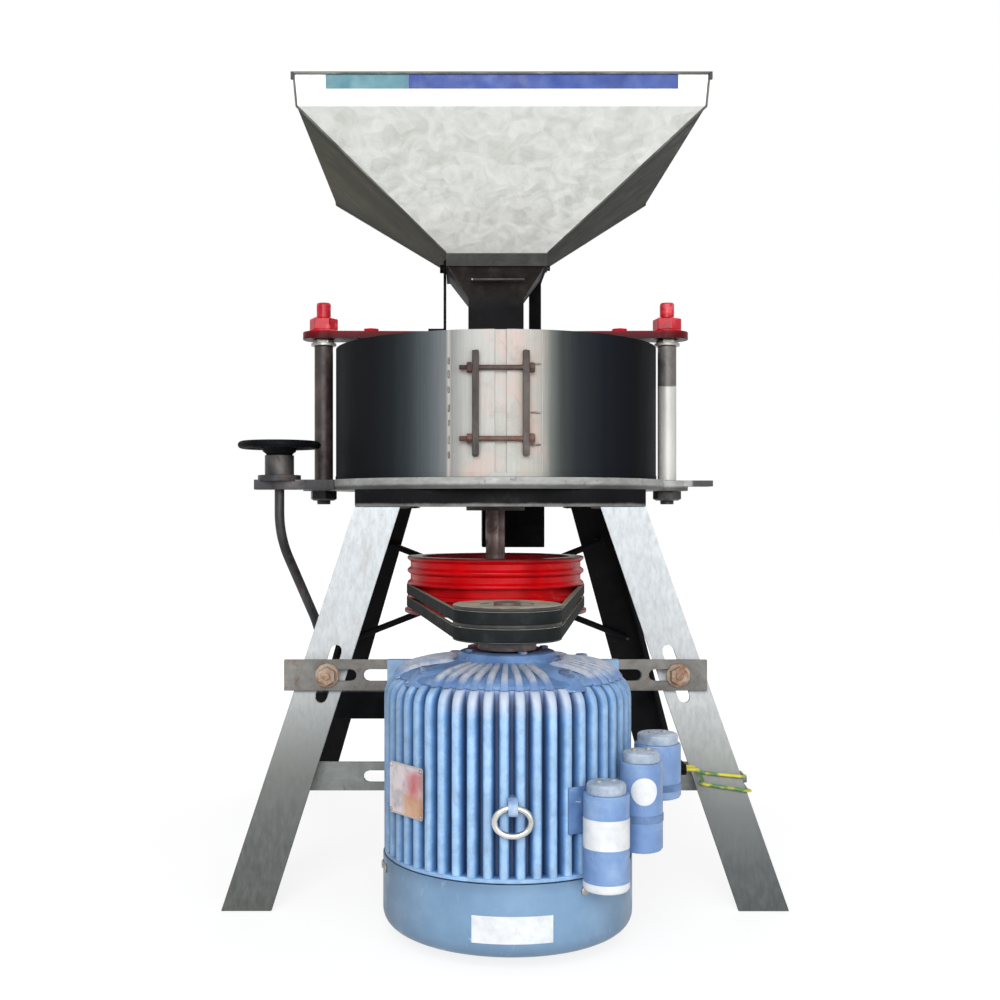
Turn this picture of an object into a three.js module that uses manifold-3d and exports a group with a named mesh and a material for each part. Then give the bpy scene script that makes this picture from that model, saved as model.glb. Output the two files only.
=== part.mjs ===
// A belt driven stone flour mill: a square hopper feeds two horizontal stones in a split steel jacket,
// the spindle hangs below them with a grooved pulley, and a vertical motor in front drives it by V-belts.
// Units are millimetres, Z is up, the floor is z = 0 and the spindle stands on x = 0, y = 0.
// The motor side is the front and faces -Y.
import * as THREE from "three";
import { mergeVertices } from "three/addons/utils/BufferGeometryUtils.js";
import Module from "manifold-3d";

const wasm = await Module();
wasm.setup();

// Clearances and facet counts
const seat = 0.3; // left between pieces that rest on or beside each other
const over = 2; // how far a cut runs past the face it opens
const weld = 0.0005; // vertices closer than this are one
const roundSides = 28;
const middleSides = 18;
const smallSides = 10;
const hexSides = 6;
const bandSides = 42;
const shellSides = 4;

// Stand
const legHeight = 434;
const legTopHalfWidth = 174;
const legFootHalfWidth = 305;
const legTopHalfDepth = 200;
const legFootHalfDepth = 352;
const legFlange = 54;
const legSheet = 5;
const frameDepth = 21;
const frameWidth = 30;
const frameSheet = 4;
const braceRadius = 5;
const braceDropHigh = 52;
const braceDropLow = 204;
const braceInset = 24;

// Motor rails and the bolts that hold the upper one in the slots of the front legs
const railSheet = 6;
const railHeight = 35;
const railOverhang = 16; // how far the upper rail runs past the left leg
const railBottom = 226;
const lowerRailHeight = 32;
const lowerRailBottom = 113;
const railBoltInset = 33;
const railBoltRadius = 6;
const boltHeadRadius = 10.5;
const boltHeadHeight = 8;
const washerRadius = 14;
const washerSheet = 2.5;
const legSlotLength = 66;
const slotWidth = 13.5;
const railSlotLength = 44;
const footSlotLength = 66;

// Footstep carrier under the spindle
const crossbarBottom = 121;
const crossbarHeight = 27;
const bridgeBottom = 122;
const bridgeSheet = 12;
const bridgeHalfWidth = 30;
const bracketSheet = 8;
const bracketRadius = 38;
const bracketHeight = 112;
const bracketTail = 46;
const earSheet = 8;
const earRadius = 15;

// Tentering gear
const leverBottom = 148;
const leverDepth = 36;
const leverSheet = 12;
const pivotReach = 120;
const rodReach = 235;
const pinRadius = 6;
const leverPlay = 1.5;
const eyeRadius = 15;
const cupRadius = 25;
const cupHeight = 58;
const cupFloor = 14;
const noseRadius = 10;
const noseHeight = 20;
const rodRadius = 6.5;
const wheelCapSheet = 3;
const wheelGap = 59; // from the plate's edge to the handwheel's axis
const wheelForward = 60;
const rodBendDrop = 60;
const rodBendLow = 262;
const rodCollarRadius = 12.5;
const rodCollarHeight = 13;
const wheelRadius = 54;
const wheelRimRadius = 6;
const wheelHubRadius = 24;
const wheelNeckRadius = 17;
const wheelHeight = 19;
const wheelSpokes = 5;
const spokeWidth = 13;
const armHalfWidth = 16;
const armSheet = 13;
const armReach = 315;
const armBossRadius = 28;
const armBossHeight = 6;
const neckRadius = 19;
const neckHeight = 32;
const spindleLift = 1.5; // how far the tentering gear raises the spindle

// Mill
const plateSheet = 14;
const plateRadius = 225;
const tieReach = 232.5;
const lugRadius = 28;
const tailReach = 291;
const tailHalfWidth = 20;
const tailSheet = 8;
const jacketRadius = 215;
const jacketSheet = 3;
const jacketHeight = 175;
const jacketSplit = 14;
const lapWidth = 60;
const clampBarReach = 34;
const clampBarWidth = 8;
const clampBarDepth = 9;
const clampBarHeight = 124;
const clampBarDrop = 26;
const clampBoltRadius = 3.2;
const clampBoltInset = 20;
const clampBoltSpare = 9;
const lidSheet = 12;
const lidDrop = 3; // how far the lid lies below the rim of the jacket
const lidHubRadius = 62;
const lidHubHeight = 11;
const eyeHoleRadius = 54;
const armWidth = 46;
const lugSheet = 10;
const lugRise = 15;
const bossRadius = 11;
const bossHeight = 5;
const bossReach = 168;
const stoneRadius = 195;
const fixedStoneHeight = 70;
const runnerStoneHeight = 57;
const runnerEyeRadius = 46;
const grindGap = 3;
const runnerPlateRadius = 190;
const runnerPlateSheet = 14;
const runnerHubRadius = 40;
const runnerHubDrop = 8;
const runnerHubRise = 20;

// Tie bolts
const tieRadius = 9.5;
const sleeveRadius = 12.5;
const tieNutRadius = 20;
const tieNutHeight = 17;
const tieStub = 40;
const lowNutHeight = 13;
const lowNutRadius = 19;
const lowStub = 5;
const underWasherRadius = 17;
const underWasherHeight = 8;

// Neck bearing, spindle and outlet
const spindleRadius = 13;
const neckBushRadius = 40;
const neckFlangeRadius = 55;
const neckFlangeSheet = 12;
const neckBushDrop = 26;
const neckBushRise = 4;
const spindleTopRadius = 9;
const chuteWidth = 89;
const chuteDepth = 60;
const chuteHeight = 93;
const chuteSheet = 2;
const chuteX = 28.5;
const chuteY = 125;
const chuteFlange = 9;

// Hopper and feed
const hopperHalfTop = 238.5;
const hopperHalfRim = 241.5;
const hopperHalfThroat = 64.5;
const hopperSheet = 1.8;
const rimLip = 3;
const throatRise = 106; // from the lid up to the hopper's throat
const collarHeight = 17;
const coneHeight = 136;
const bandHeight = 38.5;
const spoutHalf = 36.5;
const spoutSheet = 2;
const spoutTopHalf = 62;
const spoutTaperHeight = 54;
const spoutDip = 12;
const gateHalf = 44;
const gateTongueHalf = 33;
const gateSheet = 2;
const gateRise = 20;
const gateLength = 150;
const gateGripHeight = 16;
const supportSheet = 3.5;
const supportWidth = 30;
const supportNarrow = 17;
const supportFoot = 24;
const supportBoltRadius = 6;
const supportBoltHead = 5;

// Pulleys and belts
const groovePitch = 17;
const drivenGrooves = 4;
const drivenRadius = 119;
const drivenFlangeRadius = 122.6;
const drivenFlangeSheet = 5;
const drivenTopSheet = 2;
const pulleyDrop = 141; // from the top of the legs down to the pulley
const pulleyRim = 11;
const pulleyWeb = 10;
const pulleyHubRadius = 36;
const pulleyHubHeight = 56;
const motorPulleyRadius = 56;
const motorPulleyHubRadius = 30;
const motorPulleyHubDrop = 6;
const beltTop = 13;
const beltBottom = 8;
const beltSheet = 8;
const beltProud = 1;
const beltCount = 2;

// Motor
const shaftHeight = 132;
const motorBottom = 13;
const cowlRadius = 127;
const cowlHeight = 71;
const cowlSheet = 2;
const cowlRound = 15;
const grilleSlots = 16;
const grilleInner = 30;
const grilleOuter = 92;
const grilleWidth = 7;
const statorHeight = 178;
const coreRadius = 112;
const finRadius = 126;
const finSheet = 5;
const finCount = 50;
const finDraft = 1; // how much a fin widens to each side towards its root
const finRingRadius = 126.4;
const finRingHeight = 9;
const rotorPlay = 2;
const footHalfWidth = 130;
const footInner = 84;
const footSheet = 12;
const footBottom = 104;
const footStudX = 108;
const footStudRadius = 5;
const footNutRadius = 9;
const footNutHeight = 8;
const shieldHeight = 31;
const shieldRadius = 120;
const capRadius = 50;
const capHeight = 20;
const shieldEars = 4;
const earBossRadius = 15;
const earBossReach = 115;
const nearShieldHeight = 17;
const nearShieldRadius = 112;
const motorShaftRadius = 14;
const rotorRadius = 60;
const rotorInset = 24;
const shaftSpare = 4;
const fanRadius = 96;
const fanHubRadius = 24;
const fanBlades = 6;
const fanSheet = 3;
const fanHeight = 26;

// Capacitors, in the order from the front round to the right
const canRadii = [23.4, 20.5, 23.5];
const canBottoms = [79, 105, 140];
const canTops = [181, 202, 207];
const canAngles = [-54.6, -32.8, -5];
const canCapHeight = 12;
const canCapInset = 3;
const strapSheet = 2.5;
const strapBottom = 128;
const strapHeight = 44;

// Terminal box behind the capacitors, and the earth lead from it to a stud on the right front leg
const boxReach = 180;
const boxNear = 17;
const boxFar = 66;
const boxBottom = 134;
const boxTop = 171;
const boxNeck = 112;
const boxLidSheet = 4;
const boxLidLip = 2;
const glandRadius = 6;
const glandLength = 10;
const glandHeight = 157;
const glandSetback = 20;
const glandPitch = 14;
const leadRadius = 1.8;
const leadSides = 8;
const leadSteps = 52;
const leadClear = 2.2; // between the lead and the leg it passes
const leadDropHigh = 23.2; // how far the lead comes down to its stud, on the way out
const leadDropLow = 38.8; // and how far below the gland it is on the way back
const studRadius = 4.2;
const studLength = 9;
const studSetback = 30;

// Lifting ring
const ringHalfWidth = 17;
const ringHalfHeight = 13;
const ringWire = 3;
const ringLugHeight = 157;
const ringLugWidth = 9;
const ringLugRadius = 8;
const ringLugReach = 133;
const ringHole = 4.2;

// The earth lead's route: where each point lies, its share of the drop, and how far along that stretch it is
const leadStations = [
  ["free", 0, 0],
  ["free", 0, 8],
  ["free", 0.2, 17],
  ["free", 0.5, 25],
  ["face", 0.75, 50],
  ["face", 0.82, 34],
  ["face", 0.88, 18],
  ["face", 0.93, 5],
  ["side", 0.96, 5],
  ["side", 1, 14],
];

// Shares of the sizes that they follow, and step counts
const armTaperShare = 0.7;
const armStartShare = 0.6;
const armRootShare = 0.8;
const nutChamferShare = 0.25;
const webShare = 0.3;
const slotShiftShare = 0.25;
const lugShortShare = 0.25;
const capRoundShare = 0.25;
const webHoles = 5;
const webHoleShare = 0.32;
const rodBendShare = 5;
const rodSteps = 24;
const cowlRoundSteps = 4;
const beltArcSteps = 24;
const beltNoseSteps = 14;
const ringSteps = 20;
const ringWireSides = 6;
const strapSteps = 12;
const strapMargin = 11;
const leadTurnSteps = 4;

// Colours, roughness and metalness of the finishes
const finishes = {
  bareSteel: [0xb4b6b4, 0.55, 0.6],
  darkSteel: [0x24282a, 0.6, 0.5],
  blackened: [0x30302f, 0.45, 0.7],
  galvanised: [0xc4c7c3, 0.5, 0.5],
  redPaint: [0xd01020, 0.4, 0.1],
  bluePaint: [0x5f8fc4, 0.45, 0.1],
  canBlue: [0x6d9fd6, 0.4, 0.1],
  zinc: [0xa8a49c, 0.45, 0.7],
  rusty: [0x8a5a44, 0.8, 0.4],
  castIron: [0x3a3a3a, 0.7, 0.4],
  blackPaint: [0x121316, 0.5, 0.1],
  beltRubber: [0x2e3330, 0.85, 0.0],
  stone: [0x8f8b82, 0.95, 0.0],
  bronze: [0x9a7a3c, 0.4, 0.8],
  chromed: [0xd8d8d4, 0.25, 0.9],
  leadYellow: [0xd8c832, 0.5, 0.0],
};

// Levels and places worked out from the sizes
const lean = (legFootHalfWidth - legTopHalfWidth) / legHeight;
const rake = (legFootHalfDepth - legTopHalfDepth) / legHeight;
const frameBottom = legHeight + seat;
const frameTop = frameBottom + frameDepth;
const plateBottom = frameTop + seat;
const plateTop = plateBottom + plateSheet;
const wheelReach = plateRadius + wheelGap;
const rodBendHigh = plateBottom - rodBendDrop;
const jacketBottom = plateTop + seat;
const jacketTop = jacketBottom + jacketHeight;
const lidTop = jacketTop - lidDrop;
const lidBottom = lidTop - lidSheet;
const lugBottom = jacketTop + lugRise;
const lugTop = lugBottom + lugSheet;
const fixedStoneTop = lidBottom - seat;
const fixedStoneBottom = fixedStoneTop - fixedStoneHeight;
const runnerTop = fixedStoneBottom - grindGap;
const runnerBottom = runnerTop - runnerStoneHeight;
const runnerPlateTop = runnerBottom - seat;
const runnerPlateBottom = runnerPlateTop - runnerPlateSheet;
const bridgeTop = bridgeBottom + bridgeSheet;
const bracketBottom = bridgeTop + seat;
const bracketTop = bracketBottom + bracketHeight;
const leverTop = leverBottom + leverDepth;
const leverMiddle = (leverBottom + leverTop) / 2;
const cupBottom = leverTop + seat;
const cupTop = cupBottom + noseHeight + cupHeight;
const spindleBottom = cupBottom + noseHeight + cupFloor + seat;
const spindleTop = runnerBottom + runnerHubRise + spindleRadius;
const railBack = -(frontFace(railBottom) + seat);
const railFront = railBack - railSheet;
const motorY = railFront - seat - shaftHeight;
const statorBottom = motorBottom + cowlHeight + seat;
const statorTop = statorBottom + statorHeight;
const shieldBottom = statorTop + seat;
const shieldTop = shieldBottom + shieldHeight;
const throatBottom = lidTop + throatRise;
const throatTop = throatBottom + collarHeight;
const coneTop = throatTop + coneHeight;
const rimTop = coneTop + bandHeight;
const spoutTop = throatTop - seat;
const spoutNeck = spoutTop - spoutTaperHeight;
const spoutBottom = lidTop + lidHubHeight - spoutDip;
const gateBottom = spoutNeck + gateRise;
const pulleyBottom = legHeight - pulleyDrop;
const grooveBottom = pulleyBottom + drivenFlangeSheet;
const pulleyTop = grooveBottom + drivenGrooves * groovePitch + drivenTopSheet;

// Half the depth of the stand over the outer faces of its legs, at a height
function frontFace(z) {
  return legTopHalfDepth + rake * (legHeight - z);
}

// Half the width of the stand over the outer faces of its legs, at a height
function sideFace(z) {
  return legTopHalfWidth + lean * (legHeight - z);
}

// A closed geometry as a solid, with collapsed faces dropped and its faces turned outwards
function solid(geometry) {
  const bare = geometry.clone();
  bare.deleteAttribute("normal");
  bare.deleteAttribute("uv");
  const merged = mergeVertices(bare, weld);
  const faces = [];
  const index = merged.index.array;
  for (let i = 0; i < index.length; i += 3) {
    const [a, b, c] = [index[i], index[i + 1], index[i + 2]];
    if (a !== b && b !== c && c !== a) faces.push(a, b, c);
  }
  const positions = merged.attributes.position.array;
  const made = shellOf(positions, faces);
  return made.volume() < 0 ? shellOf(positions, faces.reverse()) : made;
}

function shellOf(positions, faces) {
  const data = { numProp: 3, vertProperties: positions, triVerts: new Uint32Array(faces) };
  return new wasm.Manifold(new wasm.Mesh(data));
}

function join(...solids) {
  return solids.reduce((all, next) => all.add(next));
}

function cut(body, ...tools) {
  return tools.reduce((left, tool) => left.subtract(tool), body);
}

// A box between two corners
function block(x0, x1, y0, y1, z0, z1) {
  const box = new THREE.BoxGeometry(x1 - x0, y1 - y0, z1 - z0);
  return solid(box.translate((x0 + x1) / 2, (y0 + y1) / 2, (z0 + z1) / 2));
}

// An upright round bar between two heights
function post(radius, z0, z1, x = 0, y = 0, sides = roundSides) {
  const bar = new THREE.CylinderGeometry(radius, radius, z1 - z0, sides);
  return solid(bar.rotateX(Math.PI / 2).translate(x, y, (z0 + z1) / 2));
}

// A round bar along Y
function barY(radius, y0, y1, x, z, sides = smallSides) {
  const bar = new THREE.CylinderGeometry(radius, radius, y1 - y0, sides);
  return solid(bar.translate(x, (y0 + y1) / 2, z));
}

// A round bar along X
function barX(radius, x0, x1, y, z, sides = smallSides) {
  const bar = new THREE.CylinderGeometry(radius, radius, x1 - x0, sides);
  return solid(bar.rotateZ(Math.PI / 2).translate((x0 + x1) / 2, y, z));
}

// A profile of [radius, height] points turned about an upright axis
function revolve(profile, x = 0, y = 0, sides = roundSides, twist = 0) {
  const points = profile.map(([r, z]) => new THREE.Vector2(r, z));
  const turned = new THREE.LatheGeometry(points, sides);
  return solid(turned.rotateX(Math.PI / 2).rotateZ(twist).translate(x, y, 0));
}

// A ring of rectangular section
function ring(inner, outer, z0, z1, x = 0, y = 0, sides = roundSides) {
  const profile = [[inner, z0], [outer, z0], [outer, z1], [inner, z1], [inner, z0]];
  return revolve(profile, x, y, sides);
}

// A flat outline of [x, y] points raised between two heights
function slab(outline, z0, z1) {
  const shape = new THREE.Shape(outline.map(([x, y]) => new THREE.Vector2(x, y)));
  const raised = new THREE.ExtrudeGeometry(shape, { depth: z1 - z0, bevelEnabled: false });
  return solid(raised.translate(0, 0, z0));
}

// An outline in X and Z pushed along Y
function slabY(outline, y0, y1) {
  const shape = new THREE.Shape(outline.map(([x, z]) => new THREE.Vector2(x, z)));
  const raised = new THREE.ExtrudeGeometry(shape, { depth: y1 - y0, bevelEnabled: false });
  return solid(raised.rotateX(Math.PI / 2).translate(0, y1, 0));
}

// The outline of a slot with round ends, turned by an angle about its centre
function slotOutline(x, z, length, width, angle) {
  const half = (length - width) / 2;
  const points = [];
  const steps = smallSides / 2;
  for (const end of [0, 1]) {
    for (let i = 0; i <= steps; i++) {
      const a = Math.PI * (end + i / steps) - Math.PI / 2;
      const along = half * (1 - 2 * end) + (Math.cos(a) * width) / 2;
      const across = (Math.sin(a) * width) / 2;
      const turnedX = along * Math.cos(angle) - across * Math.sin(angle);
      const turnedZ = along * Math.sin(angle) + across * Math.cos(angle);
      points.push([x + turnedX, z + turnedZ]);
    }
  }
  return points;
}

// Rings of points joined into one endless bar
function closedLoop(rings) {
  const count = rings[0].length;
  const positions = [];
  const faces = [];
  for (const points of rings) for (const p of points) positions.push(p.x, p.y, p.z);
  rings.forEach((_, i) => {
    const here = i * count;
    const next = ((i + 1) % rings.length) * count;
    for (let k = 0; k < count; k++) {
      const side = (k + 1) % count;
      faces.push(here + k, next + k, next + side, here + k, next + side, here + side);
    }
  });
  const geometry = new THREE.BufferGeometry();
  geometry.setAttribute("position", new THREE.Float32BufferAttribute(positions, 3));
  geometry.setIndex(faces);
  return solid(geometry);
}

// A round bar that follows a curve
function tubeAlong(path, radius, steps, sides) {
  const section = new THREE.Shape().absarc(0, 0, radius, 0, 2 * Math.PI);
  const options = { steps, extrudePath: path, bevelEnabled: false, curveSegments: sides / 2 };
  return solid(new THREE.ExtrudeGeometry(section, options));
}

const mill = new THREE.Group();

// Adds one named piece to the mill
function piece(name, body, finish) {
  const mesh = body.getMesh();
  const geometry = new THREE.BufferGeometry();
  geometry.setAttribute("position", new THREE.BufferAttribute(mesh.vertProperties, 3));
  geometry.setIndex(new THREE.BufferAttribute(mesh.triVerts, 1));
  geometry.computeVertexNormals();
  const [color, roughness, metalness] = finishes[finish];
  const made = new THREE.Mesh(geometry, new THREE.MeshStandardMaterial({ color, roughness, metalness }));
  made.name = name;
  mill.add(made);
}

// One splayed leg of angle section, with its corner outwards
function leg(side, end) {
  const corner = [
    [0, 0],
    [legFlange, 0],
    [legFlange, legSheet],
    [legSheet, legSheet],
    [legSheet, legFlange],
    [0, legFlange],
  ];
  const place = ([a, b]) => new THREE.Vector2(side * (legFootHalfWidth - a), end * (legFootHalfDepth - b));
  const outline = corner.map(place);
  const options = { depth: legHeight, bevelEnabled: false };
  const raised = new THREE.ExtrudeGeometry(new THREE.Shape(outline), options);
  const splay = new THREE.Matrix4().set(1, 0, -side * lean, 0, 0, 1, -end * rake, 0, 0, 0, 1, 0, 0, 0, 0, 1);
  return solid(raised.applyMatrix4(splay));
}

// Where the rail bolt passes through a front leg
const railMiddle = railBottom + railHeight / 2;
const railBoltX = sideFace(railMiddle) - railBoltInset;
const legTilt = Math.atan2(1, lean);
const studHeight = glandHeight - (leadDropHigh + leadDropLow) / 2;
const studY = studSetback - frontFace(studHeight);

function frontLeg(side) {
  const tilt = side > 0 ? Math.PI - legTilt : legTilt;
  const outline = slotOutline(side * railBoltX, railMiddle, legSlotLength, slotWidth, tilt);
  const slotted = cut(leg(side, -1), slabY(outline, -legFootHalfDepth - over, -legTopHalfDepth));
  if (side < 0) return slotted;
  const face = sideFace(studHeight);
  const stud = barX(studRadius, face - legSheet, face + studLength, studY, studHeight, smallSides);
  return join(slotted, stud);
}

// The channel frame on top of the legs: its open side faces outwards
function topFrame() {
  const outer = (inset, z0, z1) =>
    block(inset - legTopHalfWidth, legTopHalfWidth - inset,
      inset - legTopHalfDepth, legTopHalfDepth - inset, z0, z1);
  const recess = frameWidth - frameSheet;
  const web = outer(recess, frameBottom, frameTop);
  const low = outer(0, frameBottom, frameBottom + frameSheet);
  const high = outer(0, frameTop - frameSheet, frameTop);
  return cut(join(web, low, high), outer(frameWidth, frameBottom - over, frameTop + over));
}

// A brace between the rear legs, from high on one side to low on the other
function brace(side, layer) {
  const at = (drop, sign) => {
    const z = legHeight - drop;
    const flat = legSheet + (seat + braceRadius + layer * (2 * braceRadius + seat)) * Math.hypot(1, rake);
    return new THREE.Vector3(sign * (sideFace(z) - braceInset), frontFace(z) - flat, z);
  };
  const high = at(braceDropHigh, side);
  const low = at(braceDropLow, -side);
  const rod = tubeAlong(new THREE.LineCurve3(high, low), braceRadius, 1, smallSides);
  if (!layer) return rod;
  const reach = (2 * braceRadius + seat) * Math.hypot(1, rake);
  const stub = (p) => barY(braceRadius, p.y, p.y + reach, p.x, p.z, smallSides);
  return join(rod, stub(high), stub(low));
}

// The upper motor rail, in front of the legs, slotted for the motor feet and for its own bolts
function upperRail() {
  const half = sideFace(railMiddle);
  let rail = block(-half - railOverhang, half, railFront, railBack, railBottom, railBottom + railHeight);
  for (const side of [-1, 1]) {
    const footX = side * (footStudX + footSlotLength * slotShiftShare);
    const boltX = side * (railBoltX - railSlotLength * slotShiftShare);
    const footSlot = slotOutline(footX, railMiddle, footSlotLength, slotWidth, 0);
    const boltSlot = slotOutline(boltX, railMiddle, railSlotLength, slotWidth, 0);
    rail = cut(
      rail,
      slabY(footSlot, railFront - over, railBack + over),
      slabY(boltSlot, railFront - over, railBack + over),
    );
  }
  return rail;
}

// The lower motor rail, between the side flanges of the front legs
const lowerRailTop = lowerRailBottom + lowerRailHeight;
const lowerRailMiddle = (lowerRailBottom + lowerRailTop) / 2;
function lowerRail() {
  const half = sideFace(lowerRailTop) - legSheet - seat;
  let rail = block(-half, half, railFront, railBack, lowerRailBottom, lowerRailTop);
  for (const side of [-1, 1]) {
    const footX = side * (footStudX + footSlotLength * slotShiftShare);
    const footSlot = slotOutline(footX, lowerRailMiddle, footSlotLength, slotWidth, 0);
    rail = cut(rail, slabY(footSlot, railFront - over, railBack + over));
  }
  return rail;
}

// A bolt with its head and washer on the rail and its nut behind the leg
function railBolt(side) {
  const x = side * railBoltX;
  const z = railMiddle;
  const head = railFront - seat;
  const nut = -frontFace(z) + legSheet + rake * boltHeadRadius + seat;
  return join(
    barY(boltHeadRadius, head - washerSheet - boltHeadHeight, head - washerSheet, x, z, hexSides),
    barY(washerRadius, head - washerSheet, head, x, z),
    barY(railBoltRadius, head - washerSheet - boltHeadHeight / 2, nut + boltHeadHeight + washerSheet, x, z),
    barY(boltHeadRadius, nut, nut + boltHeadHeight, x, z, hexSides),
  );
}

// The bar under the spindle, from the lower rail back to the flat bar between the rear legs
const crossbarTop = crossbarBottom + crossbarHeight;
const crossbarBack = frontFace(crossbarTop) - legSheet - seat;
const crossbarFront = crossbarBack - railSheet;
function footstepBridge() {
  const half = sideFace(crossbarTop) - legSheet - seat;
  return join(
    block(-bridgeHalfWidth, bridgeHalfWidth, railBack + seat, crossbarBack, bridgeBottom, bridgeTop),
    block(-half, half, crossbarFront, crossbarBack, crossbarBottom, crossbarTop),
  );
}

// The casting that guides the footstep cup and holds the pivot of the lever
function footstepBracket() {
  const slot = leverSheet / 2 + leverPlay;
  const half = slot + earSheet;
  const baseTop = bracketBottom + bracketSheet;
  const ear = join(
    barY(earRadius, -half, half, pivotReach, leverMiddle, smallSides),
    block(pivotReach - earRadius, pivotReach + earRadius, -half, half, bracketBottom, leverMiddle),
  );
  const body = join(
    block(-bracketTail, pivotReach + earRadius, -bridgeHalfWidth, bridgeHalfWidth, bracketBottom, baseTop),
    post(bracketRadius, bracketBottom, bracketTop, 0, 0, middleSides),
    ear,
  );
  const reach = pivotReach + bracketRadius;
  return cut(
    body,
    post(cupRadius + seat, leverTop - over, bracketTop + over, 0, 0, middleSides),
    block(-reach, reach, -slot, slot, baseTop, leverTop + over + seat),
    barY(pinRadius + seat, -half - over, half + over, pivotReach, leverMiddle),
  );
}

// The bar that the handwheel tilts to raise the spindle
function tenteringLever() {
  const half = leverSheet / 2;
  const bar = block(-rodReach, pivotReach + pinRadius * 2, -half, half, leverBottom, leverTop);
  const eye = post(eyeRadius, leverBottom, leverTop, -rodReach, 0, smallSides);
  return cut(
    join(bar, eye),
    post(rodRadius + leverPlay, leverBottom - over, leverTop + over, -rodReach, 0, smallSides),
    barY(pinRadius + seat, -half - over, half + over, pivotReach, leverMiddle),
  );
}

function leverPin() {
  const half = leverSheet / 2 + leverPlay + earSheet;
  return join(
    barY(pinRadius, -half - seat - washerSheet, half + boltHeadHeight, pivotReach, leverMiddle),
    barY(boltHeadRadius, -half - seat - washerSheet, -half - seat, pivotReach, leverMiddle),
  );
}

// The cup that carries the foot of the spindle, with a nose that stands on the lever
function footstepCup() {
  const shoulder = cupBottom + noseHeight;
  const bore = spindleRadius + seat;
  return revolve([
    [0, cupBottom],
    [noseRadius / 2, cupBottom],
    [noseRadius, cupBottom + noseRadius / 2],
    [noseRadius, shoulder],
    [cupRadius, shoulder],
    [cupRadius, cupTop],
    [bore, cupTop],
    [bore, shoulder + cupFloor],
    [0, shoulder + cupFloor],
  ], 0, 0, middleSides);
}

// The spindle, which carries the runner stone on its shoulder and ends in a taper in the eye
function spindle() {
  return revolve([
    [0, spindleBottom],
    [spindleRadius, spindleBottom],
    [spindleRadius, spindleTop - spindleRadius],
    [spindleTopRadius, spindleTop],
    [0, spindleTop],
  ], 0, 0, middleSides);
}

// The bearing housing that hangs in the base plate
function neckBearing() {
  const flangeTop = plateBottom - seat;
  const bore = spindleRadius + seat;
  return revolve([
    [bore, flangeTop - neckBushDrop],
    [neckBushRadius, flangeTop - neckBushDrop],
    [neckBushRadius, flangeTop - neckFlangeSheet],
    [neckFlangeRadius, flangeTop - neckFlangeSheet],
    [neckFlangeRadius, flangeTop],
    [neckBushRadius, flangeTop],
    [neckBushRadius, plateTop + neckBushRise],
    [bore, plateTop + neckBushRise],
    [bore, flangeTop - neckBushDrop],
  ], 0, 0, middleSides);
}

const tiePlaces = { left: [-tieReach, 0], right: [tieReach, 0], rear: [0, tieReach] };

// The cast plate under the stones, with a lug at each tie bolt and a tail on the right
function basePlate() {
  const chuteHole = chuteBox(seat, plateBottom - over, plateTop + over);
  let plate = join(
    post(plateRadius, plateBottom, plateTop),
    block(tieReach, tailReach, -tailHalfWidth, tailHalfWidth, plateTop - tailSheet, plateTop),
  );
  for (const [x, y] of Object.values(tiePlaces)) {
    plate = join(plate, post(lugRadius, plateBottom, plateTop, x, y, middleSides));
  }
  for (const [x, y] of Object.values(tiePlaces)) {
    plate = cut(plate, post(tieRadius + seat, plateBottom - over, plateTop + over, x, y, smallSides));
  }
  const neckHole = post(neckBushRadius + seat, plateBottom - over, plateTop + over, 0, 0, middleSides);
  return cut(plate, neckHole, chuteHole);
}

// The space of the outlet chute, grown by a margin
function chuteBox(margin, z0, z1) {
  const halfX = chuteWidth / 2 + margin;
  const halfY = chuteDepth / 2 + margin;
  return block(chuteX - halfX, chuteX + halfX, chuteY - halfY, chuteY + halfY, z0, z1);
}

function outletChute() {
  const top = plateTop - seat;
  const flangeTop = plateBottom - seat;
  const tube = join(
    chuteBox(0, top - chuteHeight, top),
    chuteBox(chuteFlange, flangeTop - chuteSheet, flangeTop),
  );
  return cut(tube, chuteBox(-chuteSheet, top - chuteHeight - over, top + over));
}

// An arc of the jacket, as an outline in plan
function arcBand(inner, outer, from, to, z0, z1) {
  const steps = Math.ceil(((to - from) / (2 * Math.PI)) * bandSides);
  const outline = [];
  for (let i = 0; i <= steps; i++) {
    const a = from + ((to - from) * i) / steps;
    outline.push([outer * Math.cos(a), outer * Math.sin(a)]);
  }
  for (let i = steps; i >= 0; i--) {
    const a = from + ((to - from) * i) / steps;
    outline.push([inner * Math.cos(a), inner * Math.sin(a)]);
  }
  return slab(outline, z0, z1);
}

// The split sheet band round the stones; its left end carries a lap plate behind the split
function stoneJacket() {
  const front = -Math.PI / 2;
  const split = jacketSplit / 2 / jacketRadius;
  const inner = jacketRadius - jacketSheet;
  const lap = lapWidth / jacketRadius;
  const end = front - split + 2 * Math.PI;
  const band = arcBand(inner, jacketRadius, front + split, end, jacketBottom, jacketTop);
  const start = front - split - lap;
  const behind = arcBand(inner - jacketSheet, inner, start, front + split + lap / 2, jacketBottom, jacketTop);
  const from = front + split - seat / inner;
  const to = front + lap + split;
  const relief = arcBand(inner - seat, inner + over, from, to, jacketBottom - over, jacketTop + over);
  const free = cut(behind, relief);
  return join(band, free);
}

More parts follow.
